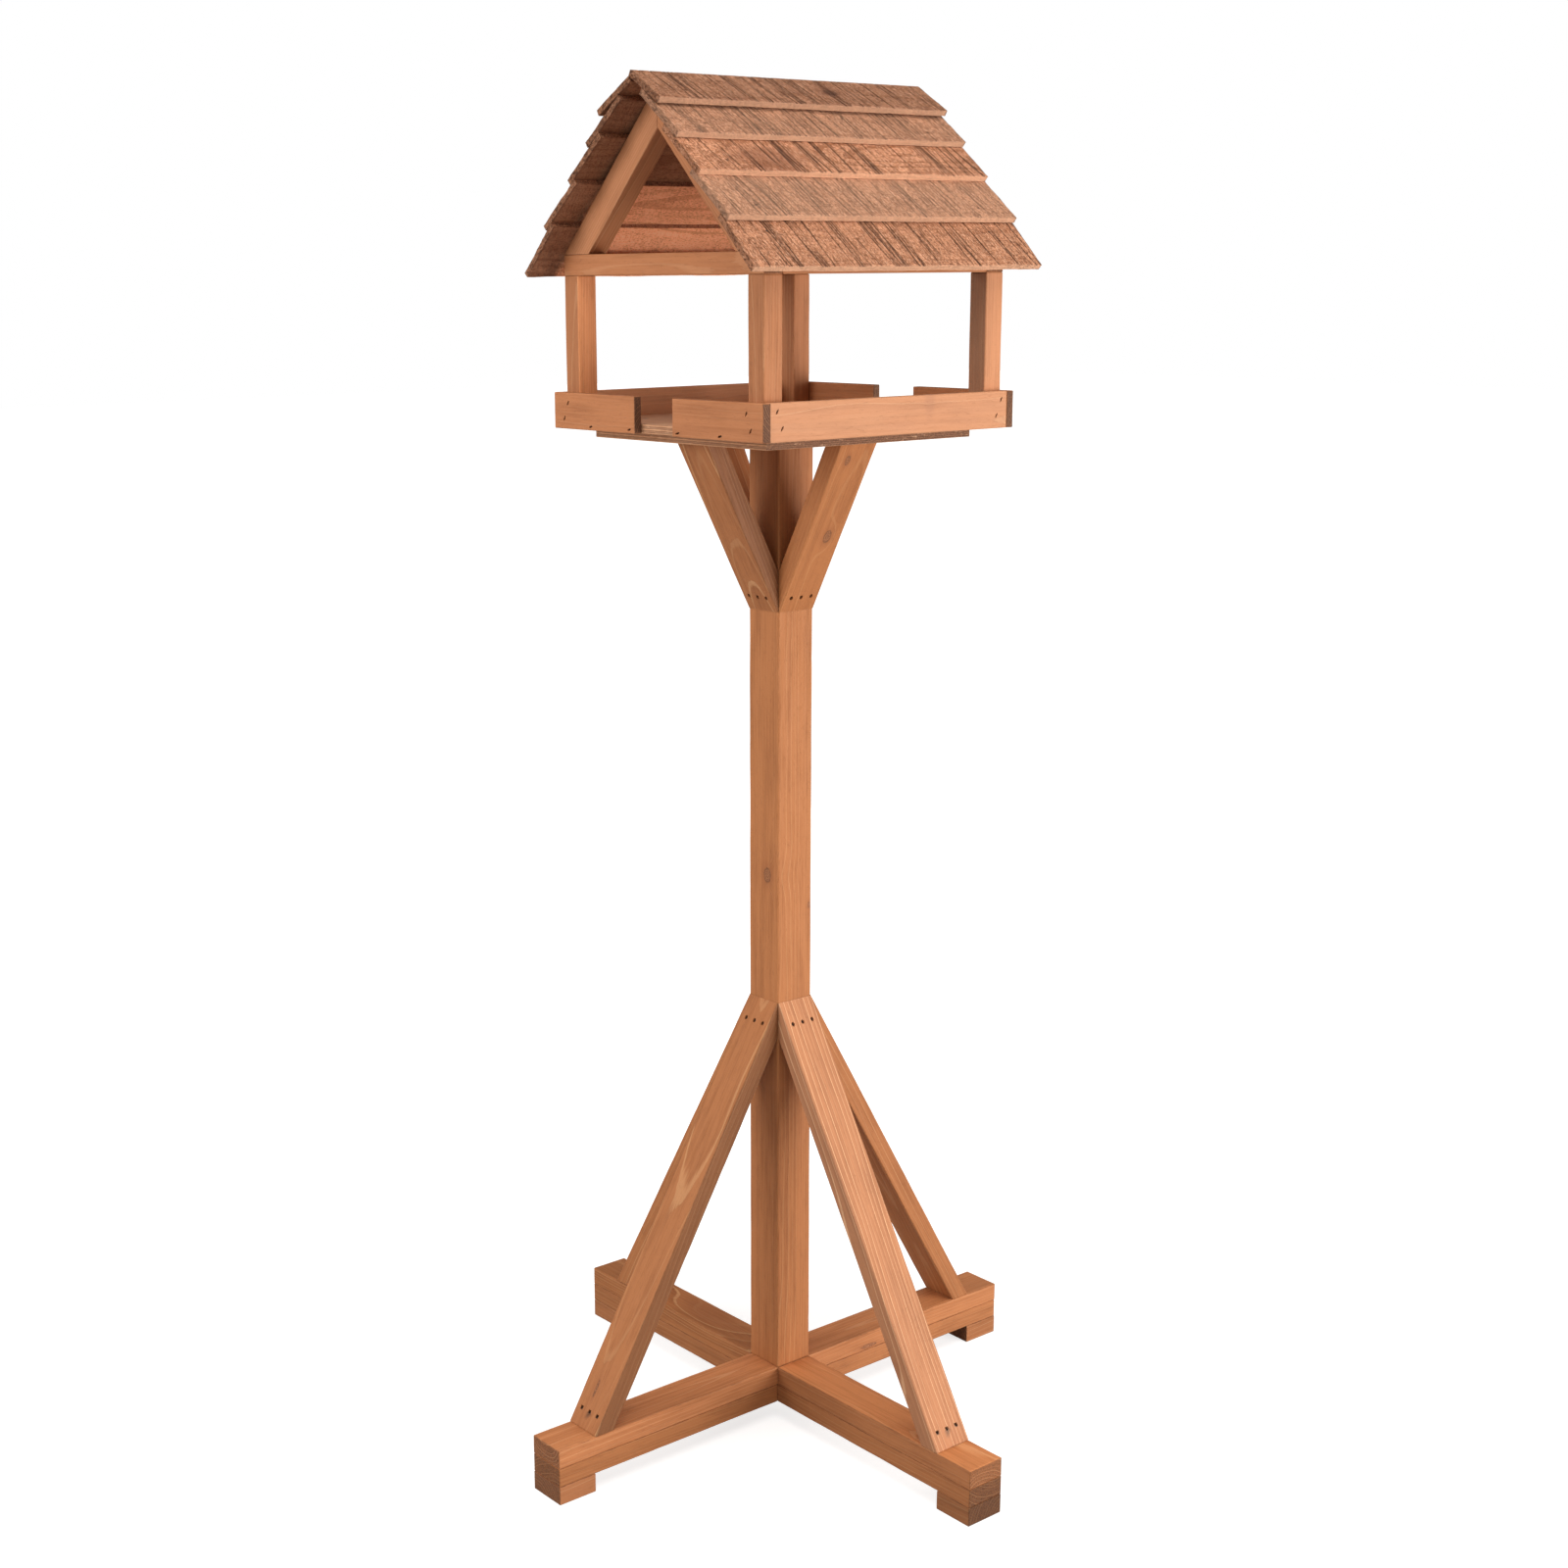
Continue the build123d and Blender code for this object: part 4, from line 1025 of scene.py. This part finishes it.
screwSets = {
    "plate_screws": {"size": (8, 4, 4, 28), "up": 1, "z": level["tray"],
                     "at": [(0, 0), (99.5, 0), (0, 99.5), (-99.5, 0), (0, -99.5)]},
    "tray_screws": {"size": (7, 3.5, 3.5, 16), "up": 1, "z": level["floorTop"],
                    "at": [(x, y) for x in traySquare for y in traySquare]},
    "foot_screws": {"size": (8, 4, 4, 50), "up": -1, "z": 0.0,
                    "at": [(287.5, 0), (0, 287.5), (-287.5, 0), (0, -287.5)]},
    "base_screws": {"size": (8, 4, 4, 35), "up": -1, "z": level["lower"],
                    "at": [(screwReach, 0), (0, screwReach), (-screwReach, 0), (0, -screwReach)]},
    "post_screw": {"size": (12, 6, 6, 100), "up": -1, "z": level["lower"], "at": [(0, 0)]},
}
for node, screws in screwSets.items():
    shape = {"outward": (0, 0, screws["up"]), "sides": 32, "rows": screwRows(*screws["size"]),
             "recess": 0.55, "lobed": 3}
    nailPiece(node + "_set", node, [{"point": (x * mm, y * mm, screws["z"]), **shape} for x, y in screws["at"]],
              "steel")
print("screws made")


def studio():
    world = bpy.data.worlds.new("studio")
    bpy.context.scene.world = world
    world.use_nodes = True
    tree = world.node_tree
    tree.nodes.clear()
    seen = tree.nodes.new("ShaderNodeLightPath")
    fill = tree.nodes.new("ShaderNodeBackground")
    fill.inputs["Color"].default_value = (1.0, 0.98, 0.96, 1.0)
    fill.inputs["Strength"].default_value = 0.38
    white = tree.nodes.new("ShaderNodeBackground")
    white.inputs["Color"].default_value = (1.0, 1.0, 1.0, 1.0)
    white.inputs["Strength"].default_value = 1.0
    choose = tree.nodes.new("ShaderNodeMixShader")
    out = tree.nodes.new("ShaderNodeOutputWorld")
    tree.links.new(seen.outputs["Is Camera Ray"], choose.inputs[0])
    tree.links.new(fill.outputs[0], choose.inputs[1])
    tree.links.new(white.outputs[0], choose.inputs[2])
    tree.links.new(choose.outputs[0], out.inputs[0])

    floorReach, floorLevel = 20.0, -0.0002
    floorLines = np.linspace(-floorReach, floorReach, 21)
    u, v, quads = gridQuads(floorLines, floorLines)
    points = np.stack([u.ravel(), v.ravel(), np.full(u.size, floorLevel)], -1)
    floor = bpy.data.objects.new("floor", fillMesh("floor", points, quads))
    sheet = NodeSheet("paleFloor")
    matte = sheet.add("BsdfDiffuse", {"Color": (0.52, 0.51, 0.50, 1.0)})
    # the floor brightens away from the object, so that it runs into the white behind
    away = sheet.vector("LENGTH", sheet.add("TexCoord", {}).outputs["Object"])
    glow = sheet.add("Emission", {"Color": (1.0, 1.0, 1.0, 1.0),
                                  "Strength": sheet.between(away, 0.3, 1.4, 0.72, 1.0)})
    rays = sheet.add("LightPath", {}).outputs["Is Camera Ray"]
    black = sheet.add("Emission", {"Strength": 0.0})
    lift = sheet.add("MixShader", {0: rays, 1: black.outputs[0], 2: glow.outputs[0]})
    both = sheet.add("AddShader", {0: matte.outputs[0], 1: lift.outputs[0]})
    sheet.add("OutputMaterial", {"Surface": both.outputs[0]})
    floor.data.materials.append(sheet.material)
    bpy.context.scene.collection.objects.link(floor)

    lamps = {"key": {"from": (2.7, 1.3, 0.72), "to": (0, 0, 0.75), "size": (2.0, 1.4), "power": 92.0},
             "fill": {"from": (-0.9, -2.9, 1.7), "to": (0, 0, 0.7), "size": (2.0, 2.0), "power": 76.0},
             "top": {"from": (1.4, -0.6, 3.4), "to": (0, 0, 0.9), "size": (2.0, 2.0), "power": 50.0}}
    for name, lamp in lamps.items():
        light = bpy.data.lights.new(name, "AREA")
        light.shape, light.energy = "RECTANGLE", lamp["power"]
        light.size, light.size_y = lamp["size"]
        light.color = (1.0, 0.985, 0.965)
        holder = bpy.data.objects.new(name, light)
        away = unit(np.array(lamp["from"]) - np.array(lamp["to"]))
        right = unit(np.cross((0, 0, 1), away))
        up = np.cross(away, right)
        turn = np.eye(4)
        turn[:3, 0], turn[:3, 1], turn[:3, 2], turn[:3, 3] = right, up, away, lamp["from"]
        holder.matrix_world = Matrix(turn.tolist())
        bpy.context.scene.collection.objects.link(holder)


def standCamera():
    view = {"place": (1.73667, -1.50114, 1.19684), "yaw": 51.67, "pitch": -14.07, "roll": -0.52,
            "lens": 52.901, "shift": (0.06469, 0.04375)}
    yaw, pitch, roll = radians(view["yaw"]), radians(view["pitch"]), radians(view["roll"])
    forward = np.array([-sin(yaw) * cos(pitch), cos(yaw) * cos(pitch), sin(pitch)])
    right = np.array([cos(yaw), sin(yaw), 0.0])
    up = np.cross(right, forward)
    rolledRight = right * cos(roll) + up * sin(roll)
    rolledUp = up * cos(roll) - right * sin(roll)
    turn = np.eye(4)
    turn[:3, 0], turn[:3, 1], turn[:3, 2], turn[:3, 3] = rolledRight, rolledUp, -forward, view["place"]
    data = bpy.data.cameras.new("camera")
    data.sensor_width, data.lens = 36.0, view["lens"]
    data.shift_x, data.shift_y = view["shift"]
    data.clip_start, data.clip_end = 0.05, 60.0
    camera = bpy.data.objects.new("camera", data)
    camera.matrix_world = Matrix(turn.tolist())
    bpy.context.scene.collection.objects.link(camera)
    bpy.context.scene.camera = camera


studio()
standCamera()
bpy.context.scene.view_settings.view_transform = "Standard"
print("studio ready")

bpy.context.view_layer.update()
